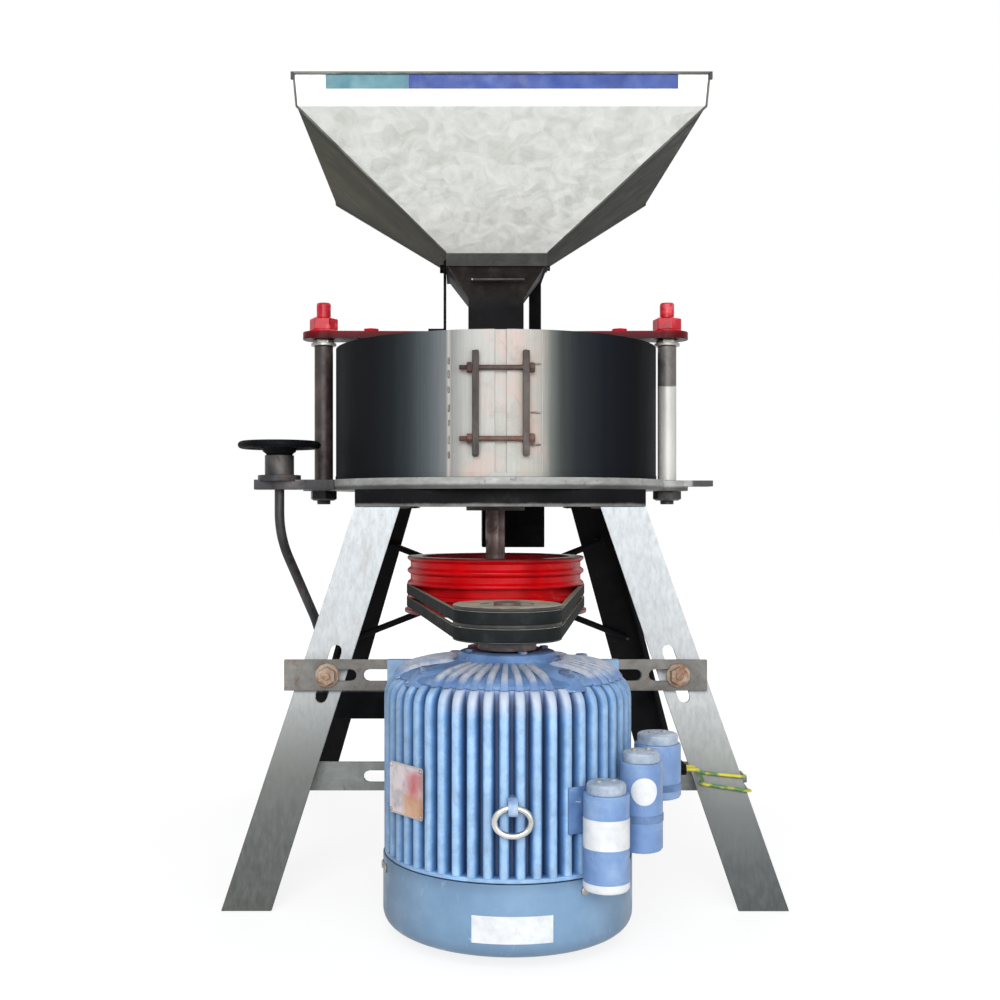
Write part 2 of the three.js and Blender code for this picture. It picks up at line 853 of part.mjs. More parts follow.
// One of the two upright bars on the ends of the jacket, with a hole for each clamp bolt
const clampBottom = jacketTop - clampBarDrop - clampBarHeight;
const clampFace = -Math.sqrt(jacketRadius ** 2 - (clampBarReach - clampBarWidth) ** 2);
const clampHeights = [clampBottom + clampBoltInset, clampBottom + clampBarHeight - clampBoltInset];
const clampBoltY = clampFace - seat - clampBarDepth / 2;
function clampBar(side) {
  const inner = side * (clampBarReach - clampBarWidth);
  const outer = side * clampBarReach;
  const face = clampFace - seat;
  const bar = block(Math.min(inner, outer), Math.max(inner, outer),
    face - clampBarDepth, face, clampBottom, clampBottom + clampBarHeight);
  const reach = clampBarReach + over;
  const hole = (z) => barX(clampBoltRadius + seat, -reach, reach, clampBoltY, z, hexSides * 2);
  const holes = clampHeights.map(hole);
  return cut(bar, ...holes);
}

function clampBolt(z) {
  const end = clampBarReach + seat;
  const head = (from, to) => barX(clampBoltRadius * 2, from, to, clampBoltY, z, hexSides);
  const nut = clampBoltRadius * 2;
  return join(
    barX(clampBoltRadius, -end - nut - clampBoltSpare, end + nut, clampBoltY, z, hexSides * 2),
    head(-end - nut, -end),
    head(end, end + nut),
  );
}

// The red casting over the stones: a lid with a feed eye, and an arm and a lug to each tie bolt
function topCasting() {
  let body = join(
    post(jacketRadius - 2 * jacketSheet - 2 * seat, lidBottom, lidTop),
    post(lidHubRadius, lidTop - over, lidTop + lidHubHeight),
  );
  for (const [x, y] of Object.values(tiePlaces)) {
    const [ux, uy] = [x / tieReach, y / tieReach];
    const half = armWidth / 2;
    const narrow = half * armTaperShare;
    const start = lidHubRadius * armStartShare;
    const outline = [
      [start * ux - narrow * uy, start * uy + narrow * ux],
      [start * ux + narrow * uy, start * uy - narrow * ux],
      [x + half * uy, y - half * ux],
      [x - half * uy, y + half * ux],
    ];
    body = join(
      body,
      slab(outline, lugBottom, lugTop),
      slab(outline.map(([a, b]) => [a * armRootShare, b * armRootShare]), lidTop - over, lugTop),
      post(lugRadius, lugBottom, lugTop, x, y, middleSides),
      post(bossRadius, lugTop - over, lugTop + bossHeight, bossReach * ux, bossReach * uy, hexSides),
    );
  }
  for (const [x, y] of Object.values(tiePlaces)) {
    body = cut(body, post(tieRadius + seat, lidBottom - over, lugTop + over, x, y, smallSides));
  }
  return cut(body, post(eyeHoleRadius, lidBottom - over, lugTop + over));
}

// Stud, sleeve, nut below and washer above as one tie bolt
function tieBolt(x, y) {
  const lowFace = plateBottom - seat;
  const washerTop = lugBottom - seat;
  return join(
    post(tieRadius, lowFace - lowNutHeight - lowStub, lugTop + tieStub, x, y, smallSides),
    post(lowNutRadius, lowFace - lowNutHeight, lowFace, x, y, hexSides),
    post(sleeveRadius, plateTop + seat, washerTop - over, x, y, smallSides),
    post(underWasherRadius, washerTop - underWasherHeight, washerTop, x, y, hexSides * 2),
  );
}

function tieNut(x, y) {
  const bottom = lugTop + seat;
  const crown = tieNutHeight * nutChamferShare;
  const top = bottom + tieNutHeight;
  const profile = [
    [0, bottom],
    [tieNutRadius, bottom],
    [tieNutRadius, top - crown],
    [tieNutRadius - crown, top],
    [0, top],
  ];
  const hole = post(tieRadius + seat, bottom - over, top + over, x, y, smallSides);
  return cut(revolve(profile, x, y, hexSides), hole);
}

function runnerPlate() {
  const bore = spindleRadius + seat;
  return revolve([
    [bore, runnerPlateBottom - runnerHubDrop],
    [runnerHubRadius, runnerPlateBottom - runnerHubDrop],
    [runnerHubRadius, runnerPlateBottom],
    [runnerPlateRadius, runnerPlateBottom],
    [runnerPlateRadius, runnerPlateTop],
    [runnerHubRadius, runnerPlateTop],
    [runnerHubRadius, runnerPlateTop + runnerHubRise],
    [bore, runnerPlateTop + runnerHubRise],
    [bore, runnerPlateBottom - runnerHubDrop],
  ]);
}

// A square shell about the upright axis, from [half width, height] points
function squareShell(profile) {
  const corner = profile.map(([half, z]) => [half * Math.SQRT2, z]);
  return revolve(corner, 0, 0, shellSides, Math.PI / shellSides);
}

// The hopper: collar, sloping walls, flared white band and folded lip
function hopper() {
  const slope = Math.atan2(coneHeight, hopperHalfTop - hopperHalfThroat);
  const wall = hopperSheet / Math.sin(slope);
  const inside = hopperHalfThroat;
  return squareShell([
    [inside, throatBottom],
    [inside + hopperSheet, throatBottom],
    [inside + hopperSheet, throatTop],
    [hopperHalfTop, coneTop],
    [hopperHalfRim, rimTop - hopperSheet],
    [hopperHalfRim + rimLip, rimTop - hopperSheet],
    [hopperHalfRim + rimLip, rimTop],
    [hopperHalfRim - hopperSheet, rimTop],
    [hopperHalfTop - hopperSheet, coneTop + hopperSheet / 2],
    [inside, throatTop + wall - hopperSheet],
    [inside, throatBottom],
  ]);
}

// The dark throat and square spout below the hopper, slotted for the feed gate
function feedSpout() {
  const inner = spoutHalf - spoutSheet;
  const top = hopperHalfThroat - seat;
  const body = squareShell([
    [inner, spoutBottom],
    [spoutHalf, spoutBottom],
    [spoutHalf, spoutNeck],
    [spoutTopHalf, throatBottom - seat],
    [top, throatBottom - seat],
    [top, spoutTop],
    [top - spoutSheet, spoutTop],
    [top - spoutSheet, throatBottom],
    [spoutTopHalf - spoutSheet * 2, throatBottom - seat],
    [inner, spoutNeck],
    [inner, spoutBottom],
  ]);
  const z0 = gateBottom - seat;
  const z1 = gateBottom + gateSheet + seat;
  return cut(
    body,
    block(-gateTongueHalf - seat, gateTongueHalf + seat, -hopperHalfThroat, 0, z0, z1),
    block(-gateHalf - seat, gateHalf + seat, 0, hopperHalfThroat, z0, z1),
  );
}

// The sliding gate: a tongue shows in front, and a turned-up grip stands out behind
function feedGate() {
  const front = -spoutTopHalf;
  const step = -spoutHalf;
  const back = front + gateLength;
  const outline = [
    [-gateTongueHalf, front],
    [gateTongueHalf, front],
    [gateTongueHalf, step],
    [gateHalf, step],
    [gateHalf, back],
    [-gateHalf, back],
    [-gateHalf, step],
    [-gateTongueHalf, step],
  ];
  const grip = block(-gateHalf, gateHalf, back - gateSheet, back, gateBottom, gateBottom + gateGripHeight);
  return join(slab(outline, gateBottom, gateBottom + gateSheet), grip);
}

// A flat strip with a turned foot on the lid and a bolt at the hopper collar
const collarOuter = hopperHalfThroat + hopperSheet;
const supportBottom = lidTop + seat;
const supportBoltZ = throatBottom + collarHeight / 2;
function leftSupport() {
  const face = -collarOuter - seat;
  const half = supportWidth / 2;
  return join(
    block(face - supportSheet, face, -half, half, lugTop + seat, throatTop),
    block(face - supportFoot, face, -half, half, lugTop + seat, lugTop + seat + supportSheet),
    barX(supportBoltRadius, face - supportSheet - supportBoltHead, face - supportSheet / 2,
      0, supportBoltZ, hexSides),
  );
}

function rightSupport() {
  const face = collarOuter + seat;
  const outer = collarOuter;
  const z = supportBoltZ;
  return join(
    block(outer - supportNarrow, outer, face, face + supportSheet, supportBottom, throatTop),
    block(outer - supportNarrow, outer, face, face + supportFoot,
      supportBottom, supportBottom + supportSheet),
    barY(supportBoltRadius, face + supportSheet / 2, face + supportSheet + supportBoltHead,
      outer - supportNarrow / 2, z, hexSides),
  );
}

// A pulley rim of V-grooves, as [radius, height] points from the bottom up
const grooveTop = beltTop + spindleLift + 2 * seat;
function grooveProfile(radius, bottom, count, opening) {
  const depth = beltSheet + seat * 2;
  const inset = (beltTop - beltBottom) / 2;
  const points = [];
  for (let i = 0; i < count; i++) {
    const middle = bottom + groovePitch * (i + 1 / 2);
    const half = opening / 2;
    points.push([radius, middle - half], [radius - depth, middle - half + inset]);
    points.push([radius - depth, middle + half - inset], [radius, middle + half]);
  }
  return points;
}

// The big red pulley on the spindle
function drivenPulley() {
  const bore = spindleRadius + seat;
  const rimInner = drivenRadius - beltSheet - pulleyRim;
  const webBottom = pulleyBottom + pulleyHubHeight * webShare;
  const body = revolve([
    [bore, pulleyBottom],
    [pulleyHubRadius, pulleyBottom],
    [pulleyHubRadius, webBottom],
    [rimInner, webBottom],
    [rimInner, pulleyBottom],
    [drivenFlangeRadius, pulleyBottom],
    [drivenFlangeRadius, grooveBottom],
    [drivenRadius, grooveBottom],
    ...grooveProfile(drivenRadius, grooveBottom, drivenGrooves, grooveTop),
    [drivenRadius, pulleyTop],
    [rimInner, pulleyTop],
    [rimInner, webBottom + pulleyWeb],
    [pulleyHubRadius, webBottom + pulleyWeb],
    [pulleyHubRadius, pulleyBottom + pulleyHubHeight],
    [bore, pulleyBottom + pulleyHubHeight],
    [bore, pulleyBottom],
  ]);
  const holes = [];
  for (let i = 0; i < webHoles; i++) {
    const a = (2 * Math.PI * (i + 1 / 2)) / webHoles;
    const reach = (pulleyHubRadius + rimInner) / 2;
    const radius = (rimInner - pulleyHubRadius) * webHoleShare;
    const [x, y] = [reach * Math.cos(a), reach * Math.sin(a)];
    holes.push(post(radius, pulleyBottom - over, pulleyTop + over, x, y, smallSides));
  }
  return cut(body, ...holes);
}

// Each belt lies just under the upper flank of its groove, which leaves room for the spindle to rise
function beltMiddle(i) {
  return grooveBottom + groovePitch * (i + 1 / 2) + spindleLift / 2;
}

// The small pulley on the motor shaft, with a tapered hub below
function motorPulley() {
  const bore = motorShaftRadius + seat;
  const opening = beltTop + 2 * seat;
  const bottom = beltMiddle(0) - groovePitch / 2;
  const top = bottom + beltCount * groovePitch + drivenTopSheet;
  const hubBottom = shieldTop + seat;
  const profile = [
    [bore, hubBottom],
    [motorPulleyHubRadius, hubBottom],
    [motorPulleyHubRadius, bottom - motorPulleyHubDrop + over],
    [motorPulleyRadius, bottom - over / 2],
    ...grooveProfile(motorPulleyRadius, bottom, beltCount, opening),
    [motorPulleyRadius, top],
    [motorShaftRadius * 2, top],
    [motorShaftRadius * 2, top - over],
    [bore, top - over],
    [bore, hubBottom],
  ];
  return revolve(profile, 0, motorY, middleSides);
}

// A V-belt round both pulleys
function belt(i) {
  const far = drivenRadius + beltProud;
  const near = motorPulleyRadius + beltProud;
  const grip = Math.acos((far - near) / -motorY);
  const stations = [];
  for (let k = 0; k <= beltArcSteps; k++) {
    const a = grip + ((2 * Math.PI - 2 * grip) * k) / beltArcSteps;
    stations.push([0, far, a]);
  }
  for (let k = 0; k <= beltNoseSteps; k++) {
    const a = -grip + (2 * grip * k) / beltNoseSteps;
    stations.push([motorY, near, a]);
  }
  const z = beltMiddle(i);
  const rings = stations.map(([y, radius, a]) => {
    const at = (r, rise) => new THREE.Vector3(r * Math.sin(a), y - r * Math.cos(a), z + rise);
    const inner = radius - beltSheet;
    return [
      at(radius, -beltTop / 2),
      at(radius, beltTop / 2),
      at(inner, beltBottom / 2),
      at(inner, -beltBottom / 2),
    ];
  });
  return closedLoop(rings);
}

// The finned stator housing with its two long feet and the studs that hold it to the rails
function motorFrame() {
  const outline = [];
  const half = finSheet / 2 / finRadius;
  const root = (finSheet / 2 + finDraft) / coreRadius;
  for (let i = 0; i < finCount; i++) {
    const a = (2 * Math.PI * (i + 1 / 2)) / finCount;
    outline.push([coreRadius * Math.cos(a - root), coreRadius * Math.sin(a - root)]);
    outline.push([finRadius * Math.cos(a - half), finRadius * Math.sin(a - half)]);
    outline.push([finRadius * Math.cos(a + half), finRadius * Math.sin(a + half)]);
    outline.push([coreRadius * Math.cos(a + root), coreRadius * Math.sin(a + root)]);
  }
  const placed = outline.map(([x, y]) => [x, y + motorY]);
  const footFace = motorY + shaftHeight;
  let body = join(
    slab(placed, statorBottom + finRingHeight, statorTop - finRingHeight),
    post(finRingRadius, statorBottom, statorBottom + finRingHeight + over, 0, motorY),
    post(finRingRadius, statorTop - finRingHeight - over, statorTop, 0, motorY),
  );
  for (const side of [-1, 1]) {
    const inner = side * footInner;
    const outer = side * footHalfWidth;
    const web = side * (footInner + footSheet);
    body = join(
      body,
      block(Math.min(inner, outer), Math.max(inner, outer),
        footFace - footSheet, footFace, footBottom, statorTop),
      block(Math.min(inner, web), Math.max(inner, web),
        motorY + footInner / 2, footFace, footBottom, statorTop),
    );
    for (const z of [lowerRailMiddle, railMiddle]) {
      const nut = railBack + seat;
      body = join(
        body,
        barY(footStudRadius, footFace - over, nut + footNutHeight + over, side * footStudX, z),
        barY(footNutRadius, nut, nut + footNutHeight, side * footStudX, z, hexSides),
      );
    }
  }
  const lug = join(
    barX(ringLugRadius, -ringLugWidth / 2, ringLugWidth / 2, motorY - ringLugReach, ringLugHeight),
    block(-ringLugWidth / 2, ringLugWidth / 2, motorY - ringLugReach, motorY - coreRadius + over,
      ringLugHeight - ringLugRadius, ringLugHeight + ringLugRadius),
  );
  return cut(
    join(body, lug),
    barX(ringHole, -ringLugWidth, ringLugWidth, motorY - ringLugReach, ringLugHeight),
    post(rotorRadius + rotorPlay, statorBottom - over, statorTop + over, 0, motorY, middleSides),
  );
}

// The box for the motor's leads, on the right side of the housing, with a lid and a gland
const boxFront = motorY + boxNear;
const boxBack = motorY + boxFar;
const glandFront = boxFront + glandSetback;
const glandBack = glandFront + glandPitch;
function terminalBox() {
  const body = join(
    block(boxNeck, boxReach, boxFront, boxBack, boxBottom, boxTop - boxLidSheet),
    block(boxNeck - boxLidLip, boxReach + boxLidLip, boxFront - boxLidLip, boxBack + boxLidLip,
      boxTop - boxLidSheet - over, boxTop),
    barX(glandRadius, boxReach - over, boxReach + glandLength, glandFront, glandHeight, smallSides),
    barX(glandRadius, boxReach - over, boxReach + glandLength, glandBack, glandHeight, smallSides),
  );
  const clearance = finRadius / Math.cos(Math.PI / roundSides) + seat;
  return cut(body, post(clearance, boxBottom - over, boxTop + over, 0, motorY));
}

// One run of the earth lead, from its gland across the front of the leg and round the leg's edge
function leadRun(glandY, drop) {
  const z = (share) => glandHeight - drop * share;
  const front = (share) => -frontFace(z(share)) - leadRadius - leadClear;
  const side = (share) => sideFace(z(share)) + leadRadius + leadClear;
  const start = boxReach + glandLength + seat;
  return leadStations.map(([kind, share, along]) => {
    const between = glandY + (front(share) - glandY) * share;
    if (kind === "free") return new THREE.Vector3(start + along, between, z(share));
    if (kind === "face") return new THREE.Vector3(side(share) - along, front(share), z(share));
    return new THREE.Vector3(side(share), front(share) + along, z(share));
  });
}

// The earth lead: out to the stud on the leg, round the stud, and back to the terminal box
function earthLead() {
  const loop = (leadDropLow - leadDropHigh) / 2;
  const turn = [];
  for (let k = 0; k <= leadTurnSteps; k++) {
    const a = (Math.PI * k) / leadTurnSteps;
    const z = studHeight + loop * Math.cos(a);
    turn.push(new THREE.Vector3(sideFace(z) + leadRadius + leadClear, studY + loop * Math.sin(a), z));
  }
  const out = leadRun(glandFront, leadDropHigh);
  const back = leadRun(glandBack, leadDropLow).reverse();
  const path = new THREE.CatmullRomCurve3([...out, ...turn, ...back], false, "centripetal");
  return tubeAlong(path, leadRadius, leadSteps, leadSides);
}

// The loose ring in its lug
function liftingRing() {
  const rings = [];
  for (let i = 0; i < ringSteps; i++) {
    const a = (2 * Math.PI * i) / ringSteps;
    const along = new THREE.Vector2(ringHalfHeight * Math.sin(a), ringHalfWidth * Math.cos(a)).normalize();
    const points = [];
    for (let k = 0; k < ringWireSides; k++) {
      const b = (2 * Math.PI * k) / ringWireSides;
      const out = ringWire * Math.cos(b);
      const x = ringHalfWidth * Math.sin(a) + out * along.x;
      const z = ringLugHeight - ringHalfHeight + ringHalfHeight * Math.cos(a) + out * along.y;
      points.push(new THREE.Vector3(x, motorY - ringLugReach + ringWire * Math.sin(b), z));
    }
    rings.push(points);
  }
  return closedLoop(rings);
}

// The upper end shield: a shallow dome with a bearing cap, four bolt ears and ribs
function driveEndShield() {
  const bore = motorShaftRadius + seat;
  const rise = shieldHeight - capHeight;
  let body = revolve(
    [
      [bore, shieldBottom],
      [shieldRadius, shieldBottom],
      [shieldRadius, shieldBottom + rise / 2],
      [shieldRadius - rise / 2, shieldBottom + rise],
      [capRadius + rise, shieldBottom + rise + rise / 2],
      [capRadius, shieldTop - capHeight * capRoundShare],
      [capRadius - capHeight * capRoundShare, shieldTop],
      [bore, shieldTop],
      [bore, shieldBottom],
    ],
    0,
    motorY,
  );
  for (let i = 0; i < shieldEars; i++) {
    const a = (2 * Math.PI * (i + 1 / 2)) / shieldEars;
    const x = earBossReach * Math.cos(a);
    const y = motorY + earBossReach * Math.sin(a);
    const head = shieldBottom + rise + boltHeadHeight;
    body = join(
      body,
      post(earBossRadius, shieldBottom, shieldBottom + rise, x, y, smallSides),
      post(earBossRadius / 2, shieldBottom, head, x, y, hexSides),
    );
  }
  return body;
}

// The lower end shield inside the cowl, with lugs that carry the cowl
function fanEndShield() {
  const bore = motorShaftRadius + seat;
  const top = statorBottom - seat;
  const bottom = top - nearShieldHeight;
  let body = revolve(
    [
      [bore, bottom],
      [capRadius, bottom],
      [capRadius, top - nearShieldHeight / 2],
      [nearShieldRadius, top - nearShieldHeight / 2],
      [nearShieldRadius, top],
      [bore, top],
      [bore, bottom],
    ],
    0,
    motorY,
  );
  const reach = cowlRadius - cowlSheet - seat;
  const half = earBossRadius / 2;
  const lug = (x0, x1, y0, y1) => block(x0, x1, motorY + y0, motorY + y1, top - nearShieldHeight / 2, top);
  const long = reach - half * lugShortShare;
  body = join(body, lug(-long, long, -half, half), lug(-half, half, -long, long));
  return cut(body, post(bore, bottom - over, top + over, 0, motorY));
}

// The fan cowl, a thin cup with a rounded edge and a slotted grille in its floor
function fanCowl() {
  const steps = cowlRoundSteps;
  const outer = [];
  const inner = [];
  for (let i = 0; i <= steps; i++) {
    const a = ((Math.PI / 2) * i) / steps;
    const centre = cowlRadius - cowlRound;
    const rise = motorBottom + cowlRound;
    outer.push([centre + cowlRound * Math.sin(a), rise - cowlRound * Math.cos(a)]);
    const small = cowlRound - cowlSheet;
    inner.unshift([centre + small * Math.sin(a), rise - small * Math.cos(a)]);
  }
  const top = motorBottom + cowlHeight;
  const floor = motorBottom + cowlSheet;
  const rim = [[cowlRadius, top], [cowlRadius - cowlSheet, top]];
  const profile = [[0, motorBottom], ...outer, ...rim, ...inner, [0, floor]];
  const slots = [];
  for (let i = 0; i < grilleSlots; i++) {
    const a = (2 * Math.PI * i) / grilleSlots;
    const half = grilleWidth / 2;
    const corner = (r, s) => [
      r * Math.cos(a) - s * half * Math.sin(a),
      motorY + r * Math.sin(a) + s * half * Math.cos(a),
    ];
    const outline = [
      corner(grilleInner, -1),
      corner(grilleOuter, -1),
      corner(grilleOuter, 1),
      corner(grilleInner, 1),
    ];
    slots.push(slab(outline, motorBottom - over, floor + over));
  }
  return cut(revolve(profile, 0, motorY), ...slots);
}

// Shaft and rotor core as one turning piece
const shaftBottom = motorBottom + cowlSheet + fanSheet;
const motorShaftTop = beltMiddle(0) - groovePitch / 2 + beltCount * groovePitch + shaftSpare;
function motorShaft() {
  return revolve(
    [
      [0, shaftBottom],
      [motorShaftRadius, shaftBottom],
      [motorShaftRadius, statorBottom + rotorInset],
      [rotorRadius, statorBottom + rotorInset],
      [rotorRadius, statorTop - rotorInset],
      [motorShaftRadius, statorTop - rotorInset],
      [motorShaftRadius, motorShaftTop],
      [0, motorShaftTop],
    ],
    0,
    motorY,
    middleSides,
  );
}

function coolingFan() {
  const bottom = shaftBottom + over;
  const top = bottom + fanHeight;
  let body = join(
    post(fanHubRadius, bottom, top, 0, motorY, smallSides),
    post(fanRadius, top - fanSheet, top, 0, motorY),
  );
  for (let i = 0; i < fanBlades; i++) {
    const a = (2 * Math.PI * i) / fanBlades;
    const half = fanSheet / 2;
    const corner = (r, s) => [
      r * Math.cos(a) - s * half * Math.sin(a),
      motorY + r * Math.sin(a) + s * half * Math.cos(a),
    ];
    const root = fanHubRadius - over;
    const blade = [corner(root, -1), corner(fanRadius, -1), corner(fanRadius, 1), corner(root, 1)];
    body = join(body, slab(blade, bottom, top));
  }
  return cut(body, post(motorShaftRadius + seat, bottom - over, top + over, 0, motorY));
}

// A capacitor can with a narrower cap on top, standing against the strap on the motor
function canPlace(i) {
  const a = THREE.MathUtils.degToRad(canAngles[i]);
  const reach = finRadius + seat + strapSheet + seat + canRadii[i];
  return [reach * Math.cos(a), motorY + reach * Math.sin(a)];
}

function capacitor(i) {
  const [x, y] = canPlace(i);
  const radius = canRadii[i];
  const [bottom, top] = [canBottoms[i], canTops[i]];
  const shoulder = top - canCapHeight;
  return revolve(
    [
      [0, bottom],
      [radius - canCapInset, bottom],
      [radius, bottom + canCapInset],
      [radius, shoulder],
      [radius - canCapInset, shoulder],
      [radius - canCapInset, top - canCapInset],
      [radius - canCapInset * 2, top],
      [0, top],
    ],
    x,
    y,
    middleSides,
  );
}

// The bent strap round the right side of the motor that the capacitors are clipped to
function capacitorStrap() {
  const from = THREE.MathUtils.degToRad(canAngles[0] - strapMargin);
  const to = THREE.MathUtils.degToRad(canAngles[2] + strapMargin);
  const inner = finRadius + seat;
  const outline = [];
  for (let i = 0; i <= strapSteps; i++) {
    const a = from + ((to - from) * i) / strapSteps;
    outline.push([(inner + strapSheet) * Math.cos(a), motorY + (inner + strapSheet) * Math.sin(a)]);
  }
  for (let i = strapSteps; i >= 0; i--) {
    const a = from + ((to - from) * i) / strapSteps;
    outline.push([inner * Math.cos(a), motorY + inner * Math.sin(a)]);
  }
  return slab(outline, strapBottom, strapBottom + strapHeight);
}

// The arm on the left lug of the base plate, with the neck that the handwheel turns on
const armTop = plateTop;
const armBossTop = armTop + armBossHeight;
const neckTop = armBossTop + neckHeight - armBossHeight;
function handwheelArm() {
  const body = join(
    block(-armReach, -plateRadius / 2, -wheelForward - armHalfWidth, armHalfWidth - wheelForward,
      armTop - armSheet, armTop),
    post(armBossRadius, armTop - over, armBossTop, -wheelReach, -wheelForward, middleSides),
    post(neckRadius, armTop - armSheet, neckTop, -wheelReach, -wheelForward, middleSides),
  );
  return cut(
    body,
    post(plateRadius + seat, armTop - armSheet - over, armBossTop + over),
    post(lugRadius + seat, armTop - armSheet - over, armBossTop + over, -tieReach, 0, middleSides),
    post(rodRadius + seat, armTop - armSheet - over, neckTop + over, -wheelReach, -wheelForward, smallSides),
  );
}

// The handwheel: a rim and spokes on a coned hub
const wheelBottom = neckTop + seat;
const wheelTop = wheelBottom + wheelHeight;
function handwheel() {
  const rimZ = wheelTop - wheelRimRadius;
  const ringRadius = wheelRadius - wheelRimRadius;
  const rim = new THREE.TorusGeometry(ringRadius, wheelRimRadius, smallSides / 2, roundSides);
  const hub = revolve(
    [
      [0, wheelBottom],
      [wheelNeckRadius, wheelBottom],
      [wheelHubRadius, rimZ - wheelRimRadius / 2],
      [wheelHubRadius, rimZ + wheelRimRadius / 2],
      [wheelNeckRadius, wheelTop],
      [0, wheelTop],
    ],
    -wheelReach,
    -wheelForward,
    middleSides,
  );
  let body = join(hub, solid(rim.translate(-wheelReach, -wheelForward, rimZ)));
  for (let i = 0; i < wheelSpokes; i++) {
    const a = (2 * Math.PI * i) / wheelSpokes;
    const half = spokeWidth / 2;
    const far = wheelRadius - wheelRimRadius;
    const corner = (r, s) => [
      r * Math.cos(a) - s * half * Math.sin(a) - wheelReach,
      r * Math.sin(a) + s * half * Math.cos(a) - wheelForward,
    ];
    const root = wheelNeckRadius / 2;
    const outline = [corner(root, -1), corner(far, -1), corner(far, 1), corner(root, 1)];
    body = join(body, slab(outline, rimZ - wheelRimRadius / 2, rimZ + wheelRimRadius / 2));
  }
  const boreRadius = rodRadius / Math.cos(Math.PI / middleSides) + seat;
  const boreTop = wheelTop - wheelCapSheet;
  const bore = post(boreRadius, wheelBottom - over, boreTop, -wheelReach, -wheelForward, middleSides);
  return cut(body, bore);
}

// The bent rod from the handwheel down to the end of the lever
const liftTravel = (spindleLift * (pivotReach + rodReach)) / pivotReach;
function liftRod() {
  const top = wheelTop - wheelCapSheet - seat - liftTravel - over;
  const bottom = leverBottom - seat - rodCollarHeight - over;
  const bend = rodRadius * rodBendShare;
  const high = new THREE.Vector3(-wheelReach, -wheelForward, rodBendHigh);
  const low = new THREE.Vector3(-rodReach, 0, rodBendLow);
  const slope = low.clone().sub(high).normalize();
  const up = new THREE.Vector3(0, 0, 1);
  const path = new THREE.CurvePath();
  const a = new THREE.Vector3(-wheelReach, -wheelForward, top);
  const b = high.clone().addScaledVector(up, bend);
  const c = high.clone().addScaledVector(slope, bend);
  const d = low.clone().addScaledVector(slope, -bend);
  const e = low.clone().addScaledVector(up, -bend);
  const f = new THREE.Vector3(-rodReach, 0, bottom);
  path.add(new THREE.LineCurve3(a, b));
  path.add(new THREE.QuadraticBezierCurve3(b, high, c));
  path.add(new THREE.LineCurve3(c, d));
  path.add(new THREE.QuadraticBezierCurve3(d, low, e));
  path.add(new THREE.LineCurve3(e, f));
  const rod = tubeAlong(path, rodRadius, rodSteps, smallSides);
  const collarTop = leverBottom - seat;
  return join(rod, post(rodCollarRadius, collarTop - rodCollarHeight, collarTop, -rodReach, 0, hexSides));
}

for (const [end, sign] of [["front", -1], ["rear", 1]]) {
  for (const [hand, side] of [["left", -1], ["right", 1]]) {
    piece(`${end}_${hand}_leg`, end === "front" ? frontLeg(side) : leg(side, sign), "bareSteel");
  }
}
piece("top_frame", topFrame(), "darkSteel");
piece("rear_brace_1", brace(-1, 0), "blackPaint");
piece("rear_brace_2", brace(1, 1), "blackPaint");
piece("upper_motor_rail", upperRail(), "bareSteel");
piece("lower_motor_rail", lowerRail(), "bareSteel");
piece("rail_bolt_left", railBolt(-1), "rusty");
piece("rail_bolt_right", railBolt(1), "rusty");
piece("footstep_bridge", footstepBridge(), "blackPaint");
piece("footstep_bracket", footstepBracket(), "castIron");
piece("tentering_lever", tenteringLever(), "blackPaint");
piece("lever_pin", leverPin(), "zinc");
piece("footstep_cup", footstepCup(), "castIron");
piece("spindle", spindle(), "zinc");
piece("neck_bearing", neckBearing(), "castIron");
piece("base_plate", basePlate(), "bareSteel");
piece("outlet_chute", outletChute(), "blackPaint");
piece("stone_jacket", stoneJacket(), "blackened");
piece("clamp_bar_left", clampBar(-1), "rusty");
piece("clamp_bar_right", clampBar(1), "rusty");
piece("clamp_bolt_lower", clampBolt(clampHeights[0]), "rusty");
piece("clamp_bolt_upper", clampBolt(clampHeights[1]), "rusty");
piece("top_casting", topCasting(), "redPaint");
for (const [place, [x, y]] of Object.entries(tiePlaces)) {
  piece(`tie_bolt_${place}`, tieBolt(x, y), "darkSteel");
  piece(`tie_nut_${place}`, tieNut(x, y), "redPaint");
}
piece("fixed_stone", ring(eyeHoleRadius, stoneRadius, fixedStoneBottom, fixedStoneTop), "stone");
piece("runner_stone", ring(runnerEyeRadius, stoneRadius, runnerBottom, runnerTop), "stone");
piece("runner_plate", runnerPlate(), "castIron");
piece("hopper", hopper(), "galvanised");
piece("feed_spout", feedSpout(), "darkSteel");
piece("feed_gate", feedGate(), "galvanised");
piece("hopper_support_left", leftSupport(), "darkSteel");
piece("hopper_support_right", rightSupport(), "darkSteel");
piece("driven_pulley", drivenPulley(), "redPaint");
piece("motor_pulley", motorPulley(), "rusty");
for (let i = 0; i < beltCount; i++) piece(`v_belt_${i + 1}`, belt(i), "beltRubber");
piece("motor_frame", motorFrame(), "bluePaint");
piece("drive_end_shield", driveEndShield(), "bluePaint");
piece("fan_end_shield", fanEndShield(), "bluePaint");
piece("fan_cowl", fanCowl(), "bluePaint");
piece("motor_shaft", motorShaft(), "zinc");
piece("cooling_fan", coolingFan(), "blackPaint");
canRadii.forEach((_, i) => piece(`capacitor_${i + 1}`, capacitor(i), "canBlue"));
piece("capacitor_strap", capacitorStrap(), "bluePaint");
piece("terminal_box", terminalBox(), "blackPaint");
piece("earth_lead", earthLead(), "leadYellow");
piece("lifting_ring", liftingRing(), "chromed");
piece("handwheel_arm", handwheelArm(), "darkSteel");
piece("handwheel", handwheel(), "blackPaint");
piece("lift_rod", liftRod(), "darkSteel");

